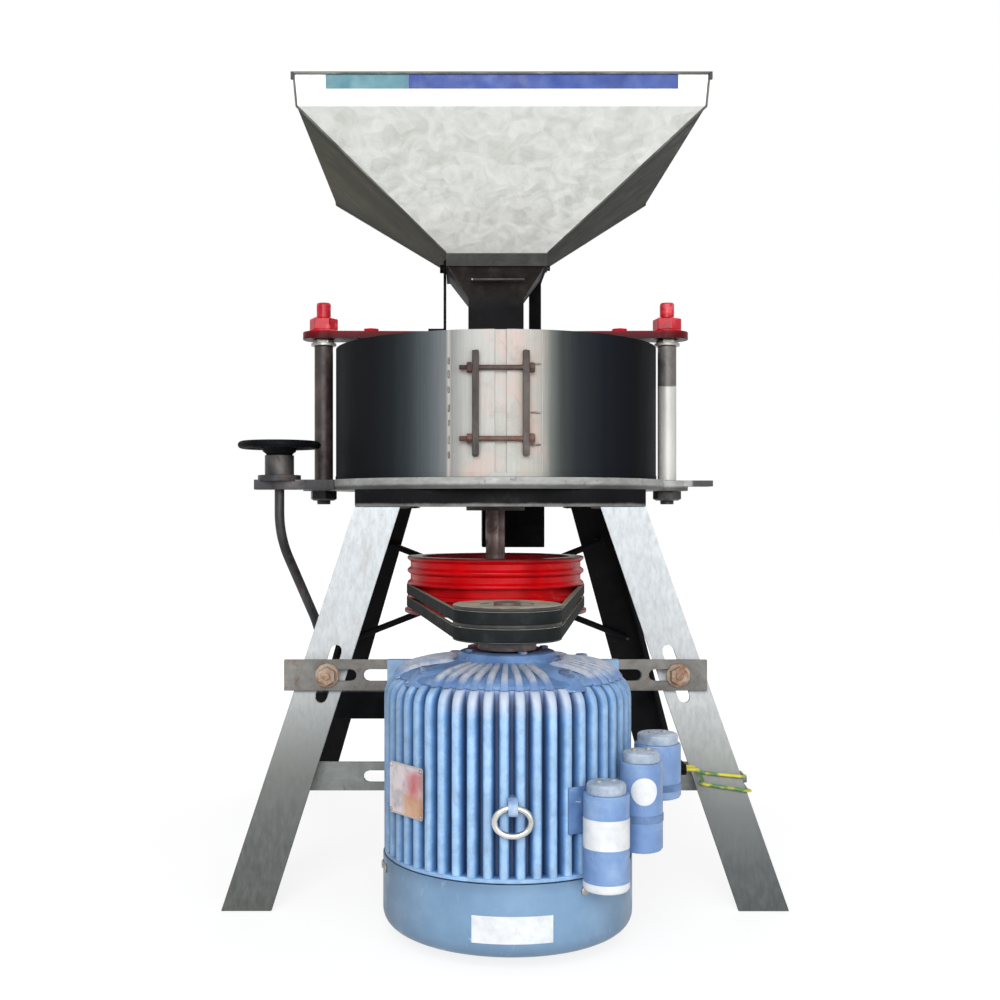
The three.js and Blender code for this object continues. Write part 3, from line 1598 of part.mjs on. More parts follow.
// The group stands with the middle of its box, in plan, on the origin
const middle = new THREE.Box3().setFromObject(mill).getCenter(new THREE.Vector3());
for (const mesh of mill.children) mesh.geometry.translate(-middle.x, -middle.y, 0);

export default mill;
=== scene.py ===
import math
import random

import bpy
import bmesh
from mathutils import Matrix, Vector


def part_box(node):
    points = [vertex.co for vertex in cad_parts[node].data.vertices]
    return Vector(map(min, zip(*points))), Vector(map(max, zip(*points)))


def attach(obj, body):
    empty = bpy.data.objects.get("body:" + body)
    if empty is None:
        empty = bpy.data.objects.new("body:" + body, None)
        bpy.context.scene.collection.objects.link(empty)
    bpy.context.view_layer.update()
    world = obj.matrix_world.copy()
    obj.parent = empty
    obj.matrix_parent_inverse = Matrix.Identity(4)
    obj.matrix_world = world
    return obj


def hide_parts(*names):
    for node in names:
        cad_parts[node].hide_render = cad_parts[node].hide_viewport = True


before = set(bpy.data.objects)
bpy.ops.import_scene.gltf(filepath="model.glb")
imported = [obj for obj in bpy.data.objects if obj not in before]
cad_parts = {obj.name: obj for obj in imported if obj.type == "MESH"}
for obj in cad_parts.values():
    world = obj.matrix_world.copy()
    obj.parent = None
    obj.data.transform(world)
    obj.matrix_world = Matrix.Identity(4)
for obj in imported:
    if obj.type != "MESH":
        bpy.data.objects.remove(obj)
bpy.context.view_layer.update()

ROOT = "stand_and_housings"
random.seed(7)

# The spindle stands on this spot of the floor, and the motor axis lies in front of it
low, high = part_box("top_frame")
SX, SY = (low.x + high.x) / 2, (low.y + high.y) / 2
FRAME_HALF = (high.x - low.x) * 500, (high.y - low.y) * 500
low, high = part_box("motor_shaft")
MY = ((low.y + high.y) / 2 - SY) * 1000


def P(x, y, z):
    """A point given in millimetres from the spindle's foot."""
    return Vector((SX + x / 1000, SY + y / 1000, z / 1000))


# ---------------------------------------------------------------- sizes, in millimetres from the spindle's foot
def span(node):
    """The lowest and highest height of a CAD node, in millimetres."""
    a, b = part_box(node)
    return a.z * 1000, b.z * 1000


SEAT = 0.3
PLATE_TOP = span("stone_jacket")[0] - SEAT
JACKET_TOP = span("stone_jacket")[1]
JACKET = 215
THROAT, RIM = span("hopper")
CONE_TOP = THROAT + 153
CORNERS = ((1, -1), (1, 1), (-1, 1), (-1, -1))
PULLEY, PULLEY_TOP = span("driven_pulley")
BELTS = [sum(span("v_belt_%d" % k)) / 2 for k in (1, 2)]
STATOR = span("motor_frame")[1]
FIN_TIP, FIN_COUNT, FIN_STEP = 126, 50, 7.2
CANS = [(21.4, -54.6, "capacitor_1"), (20.5, -32.8, "capacitor_2"), (23.5, -5, "capacitor_3")]
EARS = (-57, 33, 123, 213)
TIES = {"left": (-232.5, 0), "right": (232.5, 0), "rear": (0, 232.5)}
WHEEL = (-284, -60)
ROD_FOOT = -235
BOX_MIDDLE = 157
RING_PIVOT = MY - 133


def side_face(z):
    """How far the legs' outer sides stand from the middle at a height."""
    return 305 - 131 / 434 * z


def front_face(z):
    """How far the legs' front faces stand from the middle at a height."""
    return 352 - 152 / 434 * z


# ---------------------------------------------------------------- colours and node trees
def lin(c):
    c /= 255
    return c / 12.92 if c <= 0.04045 else ((c + 0.055) / 1.055) ** 2.4


def rgb(*c):
    return tuple(lin(v) for v in c) + (1,)


def shaded(c, share):
    return tuple(v * share for v in rgb(*c)[:3]) + (1,)


def added(name, data):
    obj = bpy.data.objects.new(name, data)
    bpy.context.scene.collection.objects.link(obj)
    return obj


class Graph:
    """A shader tree built node by node."""

    def __init__(self, owner, keep=False):
        owner.use_nodes = True
        self.tree = owner.node_tree
        if not keep:
            self.tree.nodes.clear()

    def put(self, value, socket):
        if isinstance(value, (int, float, tuple)):
            socket.default_value = value
        else:
            self.tree.links.new(value, socket)

    def node(self, kind, fed=None, **facts):
        """A new node, its facts set and its inputs fed with values or sockets; gives its outputs."""
        made = self.tree.nodes.new("ShaderNode" + kind)
        for key, value in facts.items():
            setattr(made, key, value)
        for key, value in (fed or {}).items():
            self.put(value, made.inputs[key])
        return made.outputs

    def math(self, kind, a, b=0.0, clamp=False):
        return self.node("Math", {0: a, 1: b}, operation=kind, use_clamp=clamp)[0]

    def times(self, a, b, *more):
        both = self.math("MULTIPLY", a, b)
        return self.times(both, *more) if more else both

    def minus(self, a, b):
        return self.math("SUBTRACT", a, b)

    def seen(self):
        """1 for the rays that see the white background: the camera's, a glossy one and one through glass."""
        path = self.node("LightPath")
        last = path["Is Camera Ray"]
        for name in ("Is Glossy Ray", "Is Transmission Ray"):
            last = self.math("MAXIMUM", last, path[name])
        return last


# ---------------------------------------------------------------- camera, light and floor
def make_camera():
    data = bpy.data.cameras.new("view")
    data.lens, data.sensor_width, data.clip_end = 45, 36, 50
    data.shift_x, data.shift_y = 0.0415, 0.007
    cam = added("view", data)
    cam.location = P(-50, -1694, 434)
    cam.rotation_euler = (math.pi / 2, 0, 0)
    bpy.context.scene.camera = cam


def make_light(name, place, target, size, power):
    data = bpy.data.lights.new(name, "AREA")
    data.energy, data.size = power, size
    lamp = added(name, data)
    lamp.location = place
    lamp.rotation_mode = "QUATERNION"
    lamp.rotation_quaternion = (target - place).to_track_quat("-Z", "Y")


def make_world():
    world = bpy.data.worlds.new("studio")
    bpy.context.scene.world = world
    g = Graph(world)
    lit = g.node("Background", {"Color": (0.95, 0.97, 1, 1), "Strength": 0.3})[0]
    white = g.node("Background", {"Color": (1, 1, 1, 1), "Strength": 1})[0]
    g.node("OutputWorld", {"Surface": g.node("MixShader", {0: g.seen(), 1: lit, 2: white})[0]})


def make_floor():
    """White paper that takes a soft shadow near the feet and fades into the background."""
    mesh = bpy.data.meshes.new("floor")
    half = 14
    corners = [(-half, -half, 0), (half, -half, 0), (half, half, 0), (-half, half, 0)]
    mesh.from_pydata(corners, [], [(0, 1, 2, 3)])
    floor = added("floor", mesh)
    floor.location.z = -0.0006
    mat = bpy.data.materials.new("floor_paper")
    g = Graph(mat)
    reach = g.node("VectorMath", {0: g.node("TexCoord")["Object"]}, operation="LENGTH")["Value"]
    fade = g.node("MapRange", {"Value": reach, "From Min": 0.45, "From Max": 0.95, "To Min": 0.74, "To Max": 1.0})
    paper = g.node("BsdfDiffuse", {"Color": (0.93, 0.93, 0.93, 1)})[0]
    glow = g.node("Emission", {"Strength": 1.12})[0]
    share = g.times(g.seen(), fade["Result"])
    g.node("OutputMaterial", {"Surface": g.node("MixShader", {0: share, 1: paper, 2: glow})[0]})
    mesh.materials.append(mat)


# ---------------------------------------------------------------- materials
class Finish(Graph):
    """A material on object coordinates. Colours are (red, green, blue) out of 255."""

    def __init__(self, name):
        self.mat = bpy.data.materials.new(name)
        super().__init__(self.mat, keep=True)
        self.shader = self.tree.nodes["Principled BSDF"]
        self.place = self.node("TexCoord")["Object"]

    def scaled(self, size):
        return self.node("Mapping", {"Vector": self.place, "Scale": size})[0] if size else self.place

    def noise(self, scale, detail=3, rough=0.55, size=None, distortion=0):
        fed = {"Scale": scale, "Detail": detail, "Roughness": rough, "Distortion": distortion}
        return self.node("TexNoise", {"Vector": self.scaled(size), **fed})["Fac"]

    def drift(self, amount, *noise):
        """A noise about zero, for edges that wander."""
        return self.times(self.minus(self.noise(*noise), 0.5), amount)

    def cells(self, scale, out):
        return self.node("TexVoronoi", {"Vector": self.place, "Scale": scale})[out]

    def ramp(self, fac, *stops):
        """A colour ramp from (place, value) or (place, red, green, blue) stops."""
        node = self.tree.nodes.new("ShaderNodeValToRGB")
        band = node.color_ramp
        while len(band.elements) < len(stops):
            band.elements.new(0.5)
        for element, (at, *tone) in zip(band.elements, stops):
            element.position = at
            element.color = rgb(*tone) if len(tone) == 3 else (tone[0], tone[0], tone[0], 1)
        self.put(fac, node.inputs["Fac"])
        return node.outputs["Color"]

    def blend(self, fac, a, b, kind="MIX"):
        a, b = (rgb(*v) if isinstance(v, tuple) and len(v) == 3 else v for v in (a, b))
        return self.node("Mix", {0: fac, 6: a, 7: b}, data_type="RGBA", blend_type=kind)[2]

    def patches(self, color, tone, low, high, amount, *noise, where=None, **more):
        """The colour, covered by a tone where a noise is high."""
        mark = self.ramp(self.noise(*noise, **more), (low, 0.0), (high, amount))
        return self.blend(self.times(mark, where) if where else mark, color, tone)

    def between(self, value, low, high):
        """A value brought to 0..1 between two levels."""
        return self.math("DIVIDE", self.minus(value, low), high - low, True)

    def step(self, value, low, high, a, b):
        """0 below and 1 above a soft step between two levels, from a to b of its width."""
        return self.ramp(self.between(value, low, high), (a, 0.0), (b, 1.0))

    def axis(self, which):
        return self.node("SeparateXYZ", {0: self.place})[which]

    def facing(self, which):
        """The shading normal's part along an axis of the world."""
        return self.node("SeparateXYZ", {0: self.node("NewGeometry")["Normal"]})[which]

    def radial(self, ahead=0):
        """Distance from an upright axis, in metres, and the turn about it in degrees, 0 at the front."""
        x = self.minus(self.axis(0), SX)
        y = self.minus(self.axis(1), SY + ahead / 1000)
        far = self.math("SQRT", self.math("ADD", self.times(x, x), self.times(y, y)))
        return far, self.times(self.math("ARCTAN2", x, self.times(y, -1.0)), 180 / math.pi)

    def bump(self, height, strength, distance=0.0006):
        fed = {"Strength": strength, "Distance": distance, "Height": height}
        self.put(self.node("Bump", fed)[0], self.shader.inputs["Normal"])

    def set(self, color, rough, metal=0.0, spec=None):
        facts = {"Base Color": color, "Roughness": rough, "Metallic": metal, "Specular IOR Level": spec}
        for name, value in facts.items():
            if value is not None:
                self.put(value, self.shader.inputs[name])
        return self.mat


def painted(name, base, dark, light, chip=None, gloss=0.4, chips=0.66, coarse=22, grime_and_shade=0.35, spec=0.5):
    """Brushed or dipped paint with tone drift, grime and small chips."""
    f = Finish(name)
    tone = f.ramp(f.noise(coarse, 5, 0.6), (0.3, *dark), (0.52, *base), (0.74, *light))
    color = f.patches(tone, shaded(base, 0.45), 0.38, 0.72, grime_and_shade, coarse * 3.1, 6, 0.7, distortion=0.4)
    if chip:
        color = f.patches(color, chip, chips, chips + 0.03, 1.0, 95, 6, 0.68, distortion=0.8)
    f.bump(f.noise(500, 3), 0.12)
    return f.set(color, f.ramp(f.noise(60, 3), (0.3, gloss * 0.8), (0.7, min(1, gloss * 1.35))), spec=spec)


def steel(name, base, dark, light, metal, rough, streak, grain, rust=None, rusts=0.6):
    """Rolled or turned steel: cloudy tone, fine grain along one way, and rust where asked."""
    f = Finish(name)
    tone = f.ramp(f.noise(14, 5, 0.6, distortion=0.6), (0.3, *dark), (0.5, *base), (0.7, *light))
    lines = f.noise(grain, 4, 0.6, size=streak)
    color = f.blend(f.ramp(lines, (0.35, 0.35), (0.7, 0.0)), tone, shaded(base, 0.55))
    shine = f.ramp(lines, (0.3, max(0.05, rough - 0.12)), (0.75, min(1, rough + 0.18)))
    if rust:
        spots = f.ramp(f.noise(48, 7, 0.72, distortion=1.0), (rusts - 0.1, 0.0), (rusts + 0.08, 1.0))
        color = f.blend(spots, color, rust)
        shine = f.blend(spots, shine, (0.85, 0.85, 0.85, 1))
        metal = f.math("SUBTRACT", metal, f.times(spots, metal * 0.8), True)
    f.bump(lines, 0.1, 0.0005)
    return f.set(color, shine, metal)


def leg_finish():
    """Pale mill steel that greys towards the floor, with handling marks; painted shade darkens the left pair low down,
    and the rear pair is painted nearly black as shade.
    """
    f = Finish("leg_steel")
    level = f.math("DIVIDE", f.axis(2), 0.44)
    color = f.ramp(level, (0.0, 62, 66, 66), (0.1, 76, 81, 82), (0.22, 108, 112, 111), (0.36, 158, 161, 158),
                   (0.5, 198, 201, 202), (1.0, 220, 226, 230))
    # Painted shade: the left pair darkens towards the floor.
    left = f.ramp(f.minus(SX, f.axis(0)), (0.0, 0.0), (0.01, 1.0))
    lower = f.ramp(level, (0.3, 1.0), (0.62, 0.0))
    color = f.blend(f.times(left, lower, 0.6), color, (70, 72, 66))
    cloud = f.ramp(f.noise(9, 6, 0.65, distortion=0.7), (0.3, 0.9), (0.55, 0.99), (0.75, 1.0))
    color = f.blend(1.0, color, cloud, "MULTIPLY")
    lines = f.noise(210, 5, 0.65, size=(1, 1, 0.07))
    color = f.blend(f.ramp(lines, (0.34, 0.28), (0.62, 0.0)), color, (96, 98, 98))
    color = f.patches(color, (112, 104, 96), 0.64, 0.72, 0.4, 34, 7, 0.74, distortion=1.2)
    color = f.patches(color, (138, 118, 100), 0.58, 0.72, 0.28, 26, 5, 0.7, size=(1, 1, 0.12), distortion=0.5)
    # The rear pair is painted nearly black: painted shade.
    rear = f.ramp(f.minus(f.axis(1), SY), (0.0, 0.0), (0.01, 1.0))
    rear_shade = f.ramp(f.noise(18, 5, 0.65), (0.3, 14, 14, 16), (0.6, 26, 26, 28), (0.8, 46, 44, 42))
    f.bump(lines, 0.08, 0.0005)
    spec = f.ramp(rear, (0.0, 0.35), (1.0, 0.06))
    return f.set(f.blend(rear, color, rear_shade), f.ramp(lines, (0.3, 0.46), (0.7, 0.66)), spec=spec)


# The drum's tone by its turn from the front, in degrees: a painted reflection, bright across the front, and painted
# shade going dark towards the sides
DRUM_PAINTED_LIGHT = (
    (-88, 34, 36, 38), (-60, 18, 20, 22), (-46, 25, 27, 30), (-38, 34, 38, 40), (-31, 51, 57, 60), (-24, 84, 90, 93),
    (-18, 118, 123, 125), (-14.5, 150, 151, 148), (-11, 180, 180, 175), (-4, 192, 191, 186), (4, 192, 191, 186),
    (9, 182, 182, 175), (13, 168, 168, 161), (16, 112, 116, 112), (20, 64, 68, 68), (26, 44, 48, 51), (36, 27, 30, 36),
    (52, 9, 10, 15), (88, 5, 6, 10))


def drum_finish():
    """Blued sheet with a painted reflection, bright across the front where its ends meet, and painted shade dark
    towards the sides.
    """
    f = Finish("drum_steel")
    turn = f.radial()[1]
    lines = f.noise(60, 4, 0.5, size=(1, 1, 0.03))
    way = f.between(f.math("ADD", turn, f.times(f.minus(lines, 0.5), 3.0)), -90, 90)
    tone = f.ramp(way, *[((angle + 90) / 180, *shade) for angle, *shade in DRUM_PAINTED_LIGHT])
    fine = f.noise(420, 4, 0.6, size=(1, 1, 0.04))
    tone = f.blend(f.ramp(fine, (0.36, 0.1), (0.62, 0.0)), tone, (14, 15, 17))
    # The band of the painted highlight across the front.
    bright = f.ramp(way, (0.41, 0.0), (0.44, 1.0), (0.56, 1.0), (0.59, 0.0))
    # Pink, green and grey tints laid only inside the painted highlight, as part of the painted reflection.
    for shade, low, high, amount, noise, tall, bend in (
            ((208, 170, 158), 0.5, 0.66, 0.5, (16, 5, 0.62), 0.8, 0.6),
            ((160, 172, 160), 0.52, 0.7, 0.45, (19, 5, 0.6), 0.7, 0.8),
            ((150, 142, 134), 0.54, 0.68, 0.4, (34, 6, 0.7), 0.9, 1.0)):
        tone = f.patches(tone, shade, low, high, amount, *noise, where=bright, size=(1, 1, tall), distortion=bend)
    seam = f.ramp(f.math("ABSOLUTE", f.math("ADD", turn, 16.7)), (0.0, 1.0), (0.9, 0.0))
    tone = f.blend(f.times(seam, 0.75), tone, (196, 188, 180))
    f.bump(fine, 0.06, 0.0004)
    spec = f.ramp(bright, (0.0, 0.03), (1.0, 0.3))
    return f.set(tone, f.ramp(fine, (0.3, 0.5), (0.7, 0.64)), spec=spec)


def zinc_sheet():
    """Galvanised sheet with its spangle; the front of the band is white. Painted shade darkens the sheet's sides, most
    near the corners and on the right, greys the band's sides and the inside, and darkens the foot under the hopper.
    """
    f = Finish("zinc_sheet")
    flake = f.node("SeparateColor", {0: f.cells(52, "Color")})[0]
    cloud = f.noise(34, 5, 0.6, distortion=1.5)
    spangle = f.blend(0.5, f.ramp(flake, (0.0, 0.25), (1.0, 0.75)), f.ramp(cloud, (0.3, 0.0), (0.7, 1.0)))
    z = f.axis(2)
    x_way, y_way = f.minus(f.axis(0), SX), f.minus(f.axis(1), SY)
    panel = f.ramp(spangle, (0.2, 206, 208, 200), (0.5, 230, 232, 226), (0.8, 248, 249, 245))
    panel = f.blend(f.times(f.between(z, 0.8, 0.9), 0.35), panel, (190, 192, 184))
    # The sides are a darker copy of the zinc: painted shade.
    side = f.ramp(spangle, (0.2, 60, 60, 46), (0.6, 88, 88, 74), (0.9, 118, 117, 104))
    # The inside is a darker copy of the zinc: painted shade.
    inside = f.ramp(spangle, (0.2, 120, 121, 116), (0.8, 160, 161, 156))
    # Painted shade deepens near the corners and over the whole right side.
    corner = f.between(f.minus(f.math("ABSOLUTE", x_way), f.math("ABSOLUTE", y_way)), 0.0, 0.06)
    side = f.blend(f.ramp(corner, (0.0, 0.75), (0.6, 0.2), (1.0, 0.0)), side, (26, 26, 22))
    side = f.blend(f.ramp(x_way, (0.0, 0.0), (0.01, 0.85)), side, (32, 33, 31))
    side = f.patches(side, (44, 44, 34), 0.4, 0.62, 0.55, 8, 5, 0.6, distortion=0.8)
    to_front = f.ramp(f.times(f.facing(1), -1.0), (0.3, 0.0), (0.5, 1.0))
    outer = f.ramp(y_way, (0.0, 0.0), (0.01, 1.0))
    color = f.blend(to_front, side, f.blend(outer, panel, inside))
    # The band is white on its front and painted grey on its sides as shade.
    white = f.blend(to_front, (120, 122, 120), (252, 252, 252))
    color = f.blend(f.step(z, 0.9, 0.902, 0.2, 0.8), color, white)
    color = f.blend(f.step(z, 0.937, 0.9378, 0.2, 0.8), color, (96, 100, 98))
    # The foot under the hopper is painted dark and mottled: painted shade.
    foot = f.ramp(f.between(z, 0.764, 0.7656), (0.2, 1.0), (0.8, 0.0))
    grime_and_shade = f.ramp(f.noise(60, 6, 0.7, distortion=0.8), (0.3, 26, 25, 24), (0.6, 40, 39, 38), (0.8, 72, 69, 66))
    f.bump(cloud, 0.05)
    spec = f.ramp(to_front, (0.0, 0.03), (1.0, 0.3))
    return f.set(f.blend(foot, color, grime_and_shade), f.ramp(spangle, (0.2, 0.5), (0.8, 0.66)), spec=spec)


def motor_finish():
    """Pale blue paint, rubbed pale near the top of the fins at the front; painted highlight lightens the fin tips, and
    painted shade darkens the gaps between fins and the sides.
    """
    f = Finish("motor_paint")
    far, turn = f.radial(MY)
    shut = f.between(f.axis(2), (STATOR - 15) / 1000, STATOR / 1000)
    inset = f.ramp(shut, (0.0, 0.0), (0.37, 0.17), (0.64, 0.4), (0.85, 0.68), (1.0, 1.0))
    depth = f.between(f.math("ADD", far, f.times(inset, 0.0114)), 0.1105, 0.1262)
    depth = f.math("ADD", depth, f.drift(0.22, 70, 4, 0.6), True)
    # Painted highlight on the fin tips and painted shade in the gaps between them.
    tone = f.ramp(depth, (0.0, 36, 58, 98), (0.4, 62, 98, 150), (0.72, 94, 140, 194), (0.88, 120, 166, 216),
                  (0.98, 160, 196, 232))
    tone = f.blend(1.0, tone, f.ramp(f.noise(20, 5, 0.6), (0.3, 0.84), (0.6, 1.0)), "MULTIPLY")
    tone = f.patches(tone, (66, 80, 102), 0.42, 0.74, 0.4, 64, 6, 0.7, distortion=0.4)
    crown = f.between(f.math("ADD", f.axis(2), f.drift(0.02, 75, 4)), (STATOR - 26) / 1000, (STATOR - 10) / 1000)
    aside = f.math("ABSOLUTE", turn)
    ahead = f.ramp(f.math("DIVIDE", aside, 90.0), (0.3, 1.0), (0.42, 0.0))
    rubbed = f.times(crown, ahead, f.ramp(depth, (0.5, 0.15), (0.9, 0.8)))
    tone = f.blend(rubbed, tone, (188, 194, 208))
    # Painted shade towards the sides.
    sides = f.ramp(f.math("DIVIDE", aside, 180.0), (0.12, 1.0), (0.2, 0.94), (0.36, 0.76))
    tone = f.blend(1.0, tone, sides, "MULTIPLY")
    tone = f.patches(tone, (196, 204, 214), 0.68, 0.71, 0.8, 120, 6, 0.68, distortion=0.8)
    f.bump(f.noise(400, 3), 0.12)
    return f.set(tone, f.ramp(f.noise(60, 3), (0.3, 0.36), (0.7, 0.56)))


def rib_finish():
    """The end shield's ribs, blue with the paint worn to a pinkish white along the tops."""
    f = Finish("rib_paint")
    rise = f.between(f.axis(2), (STATOR + 1) / 1000, (STATOR + 14) / 1000)
    worn = f.ramp(f.math("ADD", rise, f.drift(0.9, 85, 5, 0.65), True), (0.3, 0.0), (0.8, 0.9))
    base = f.ramp(f.noise(40, 5), (0.3, 86, 116, 162), (0.7, 124, 156, 200))
    pale = f.ramp(f.noise(110, 5, 0.65), (0.3, 132, 148, 174), (0.55, 184, 188, 198), (0.8, 182, 166, 166))
    f.bump(f.noise(400, 3), 0.12)
    return f.set(f.blend(worn, base, pale), 0.42)


def cowl_finish():
    """Smooth pale blue paint, with painted shade under the top edge, towards the floor and towards the sides."""
    f = Finish("cowl_paint")
    turn = f.radial(MY)[1]
    tone = f.ramp(f.noise(14, 5, 0.6), (0.3, 106, 136, 168), (0.55, 118, 151, 182), (0.8, 138, 168, 198))
    # Painted shade under the top edge and towards the floor.
    level = f.between(f.axis(2), 0.012, 0.084)
    shade = f.ramp(level, (0.0, 0.7), (0.25, 0.9), (0.5, 1.0), (0.86, 1.0), (1.0, 0.78))
    tone = f.blend(1.0, tone, shade, "MULTIPLY")
    # Painted shade towards the sides.
    sides = f.ramp(f.math("DIVIDE", f.math("ABSOLUTE", turn), 180.0), (0.2, 1.0), (0.36, 0.76))
    tone = f.blend(1.0, tone, sides, "MULTIPLY")
    tone = f.patches(tone, (168, 186, 210), 0.6, 0.7, 0.6, 46, 7, 0.74, size=(1, 1, 0.4), distortion=1.1)
    tone = f.patches(tone, (74, 84, 102), 0.68, 0.71, 0.85, 140, 6, 0.7, distortion=0.6)
    f.bump(f.noise(420, 3), 0.1)
    return f.set(tone, f.ramp(f.noise(50, 3), (0.3, 0.32), (0.7, 0.5)))


def nameplate_finish():
    """A bare plate, pinkish bright metal to the left and red running to tan on the right."""
    f = Finish("nameplate_metal")
    wide = f.between(f.radial(MY)[1], -66, -38)
    drift = f.drift(0.35, 70, 4, 0.6)
    across = f.math("ADD", wide, drift, True)
    up = f.between(f.axis(2), 0.136, 0.186)
    level = f.math("ADD", up, drift, True)
    bright = f.ramp(f.noise(60, 6, 0.65), (0.3, 168, 158, 162), (0.5, 206, 198, 202), (0.75, 226, 206, 208))
    tan = f.ramp(f.noise(50, 5, 0.6), (0.3, 190, 140, 112), (0.7, 214, 178, 146))
    to_tan = f.times(f.ramp(across, (0.36, 0.0), (0.52, 1.0)), f.ramp(level, (0.38, 1.0), (0.55, 0.0)))
    red = f.times(f.ramp(across, (0.42, 0.0), (0.68, 0.85), (0.8, 0.7), (1.0, 0.0)),
                  f.ramp(level, (0.3, 0.0), (0.55, 1.0), (0.78, 0.9), (1.0, 0.0)))
    color = f.blend(red, f.blend(to_tan, bright, tan), (186, 52, 60))
    color = f.blend(f.ramp(wide, (0.82, 0.0), (0.94, 0.6)), color, (112, 84, 80))
    edge = f.ramp(f.math("ABSOLUTE", f.minus(up, 0.5)), (0.45, 0.0), (0.47, 0.7))
    color = f.blend(edge, color, (176, 170, 170))
    return f.set(color, f.ramp(f.noise(80), (0.3, 0.3), (0.7, 0.44)), 0.25)


def sleeve_finish():
    """A tie bolt's sleeve: oiled brown above, rubbed pale below a line."""
    f = Finish("sleeve_steel")
    level = f.math("ADD", f.axis(2), f.drift(0.004, 60, 4))
    upper = f.ramp(f.noise(50, 6, 0.7, distortion=0.6), (0.3, 76, 73, 71), (0.6, 108, 104, 101), (0.8, 150, 146, 142))
    lower = f.ramp(f.noise(40, 5, 0.65, size=(1, 1, 0.2)), (0.3, 186, 185, 180), (0.6, 214, 213, 208),
                   (0.8, 232, 231, 226))
    return f.set(f.blend(f.step(level, 0.5955, 0.598, 0.1, 0.9), lower, upper), 0.46, 0.2)


def belt_finish():
    """Belt fabric, dark on its back and dusted khaki on its upper side."""
    f = Finish("belt_fabric")
    up = f.ramp(f.facing(2), (0.4, 0.0), (0.6, 1.0))
    back = f.ramp(f.noise(40, 5, 0.6), (0.3, 22, 25, 26), (0.55, 32, 35, 36), (0.75, 50, 53, 53))
    top = f.ramp(f.noise(60, 5, 0.6), (0.3, 112, 112, 98), (0.55, 140, 139, 122), (0.75, 162, 160, 142))
    f.bump(f.noise(1500, 2, 0.5), 0.3)
    return f.set(f.blend(up, back, top), 0.8, spec=0.12)


def small_pulley_finish():
    """Grey iron: khaki dust on the top face, dark grooves and a rusty pinkish hub."""
    f = Finish("small_pulley_iron")
    far = f.radial(MY)[0]
    up = f.ramp(f.facing(2), (0.5, 0.0), (0.8, 1.0))
    high = f.step(f.axis(2), 0.32, 0.333, 0.2, 0.8)
    top = f.ramp(f.noise(50, 6, 0.65), (0.3, 120, 116, 100), (0.55, 168, 162, 144), (0.8, 206, 202, 186))
    dark = f.ramp(f.noise(70, 5, 0.65), (0.3, 30, 30, 31), (0.7, 62, 60, 60))
    hub = f.ramp(f.noise(46, 6, 0.7, distortion=0.8), (0.3, 74, 66, 68), (0.5, 104, 96, 98), (0.65, 150, 128, 126),
                 (0.8, 178, 150, 144))
    body = f.blend(f.step(far, 0.031, 0.035, 0.0, 1.0), hub, dark)
    f.bump(f.noise(300, 5, 0.6), 0.15)
    return f.set(f.blend(f.times(up, high), body, top), 0.55, 0.25)


def red_pulley_finish():
    """Glossy red, darker in the grooves' bottoms and on the flange's tip, with pink smears that are partly worn paint
    and partly a painted highlight.
    """
    f = Finish("pulley_red")
    far = f.radial()[0]
    tone = f.ramp(f.noise(26, 5, 0.6), (0.3, 176, 2, 10), (0.52, 206, 3, 12), (0.76, 222, 10, 22))
    tip = f.ramp(f.between(far, 0.1204, 0.1222), (0.2, 0.0), (0.8, 0.85))
    tone = f.blend(tip, tone, (96, 14, 20))
    deep = f.ramp(f.between(far, 0.109, 0.1125), (0.1, 0.35), (1.0, 0.0))
    tone = f.blend(deep, tone, (120, 8, 16))
    # Pink smears: partly worn paint, partly a painted highlight.
    tone = f.patches(tone, (232, 84, 92), 0.62, 0.72, 0.5, 44, 6, 0.7, size=(1, 1, 1.8), distortion=0.8)
    tone = f.patches(tone, (86, 14, 20), 0.66, 0.7, 0.85, 70, 7, 0.74, distortion=1.3)
    rim = f.between(f.axis(2), PULLEY_TOP / 1000 - 0.0035, PULLEY_TOP / 1000 - 0.001)
    tone = f.blend(f.ramp(rim, (0.2, 0.0), (0.8, 0.85)), tone, (52, 8, 16))
    f.bump(f.noise(500, 3), 0.08, 0.0005)
    return f.set(tone, 0.34, spec=0.2)


def casting_red_finish():
    """Brush-painted red iron with chips, and painted shade darkening its lower part along a wavering edge."""
    f = Finish("casting_red")
    tone = f.ramp(f.noise(24, 5, 0.6), (0.3, 178, 10, 24), (0.52, 206, 16, 34), (0.76, 228, 40, 52))
    # Painted shade: the lower part of the casting goes dark maroon.
    level = f.between(f.math("ADD", f.axis(2), f.drift(0.006, 40, 4)), 0.66, 0.6735)
    tone = f.blend(f.ramp(level, (0.0, 1.0), (0.6, 0.85), (1.0, 0.0)), tone, (62, 6, 14))
    tone = f.patches(tone, (72, 26, 28), 0.66, 0.69, 0.9, 80, 7, 0.74, distortion=1.0)
    f.bump(f.noise(300, 5, 0.6), 0.22, 0.0008)
    return f.set(tone, 0.42, spec=0.12)


def lead_finish():
    """Green and yellow patches along the lead's cover."""
    f = Finish("lead_cover")
    pick = f.ramp(f.noise(55, 2, 0.4), (0.42, 0.0), (0.5, 1.0))
    return f.set(f.blend(pick, (206, 196, 60), (84, 132, 66)), 0.45)


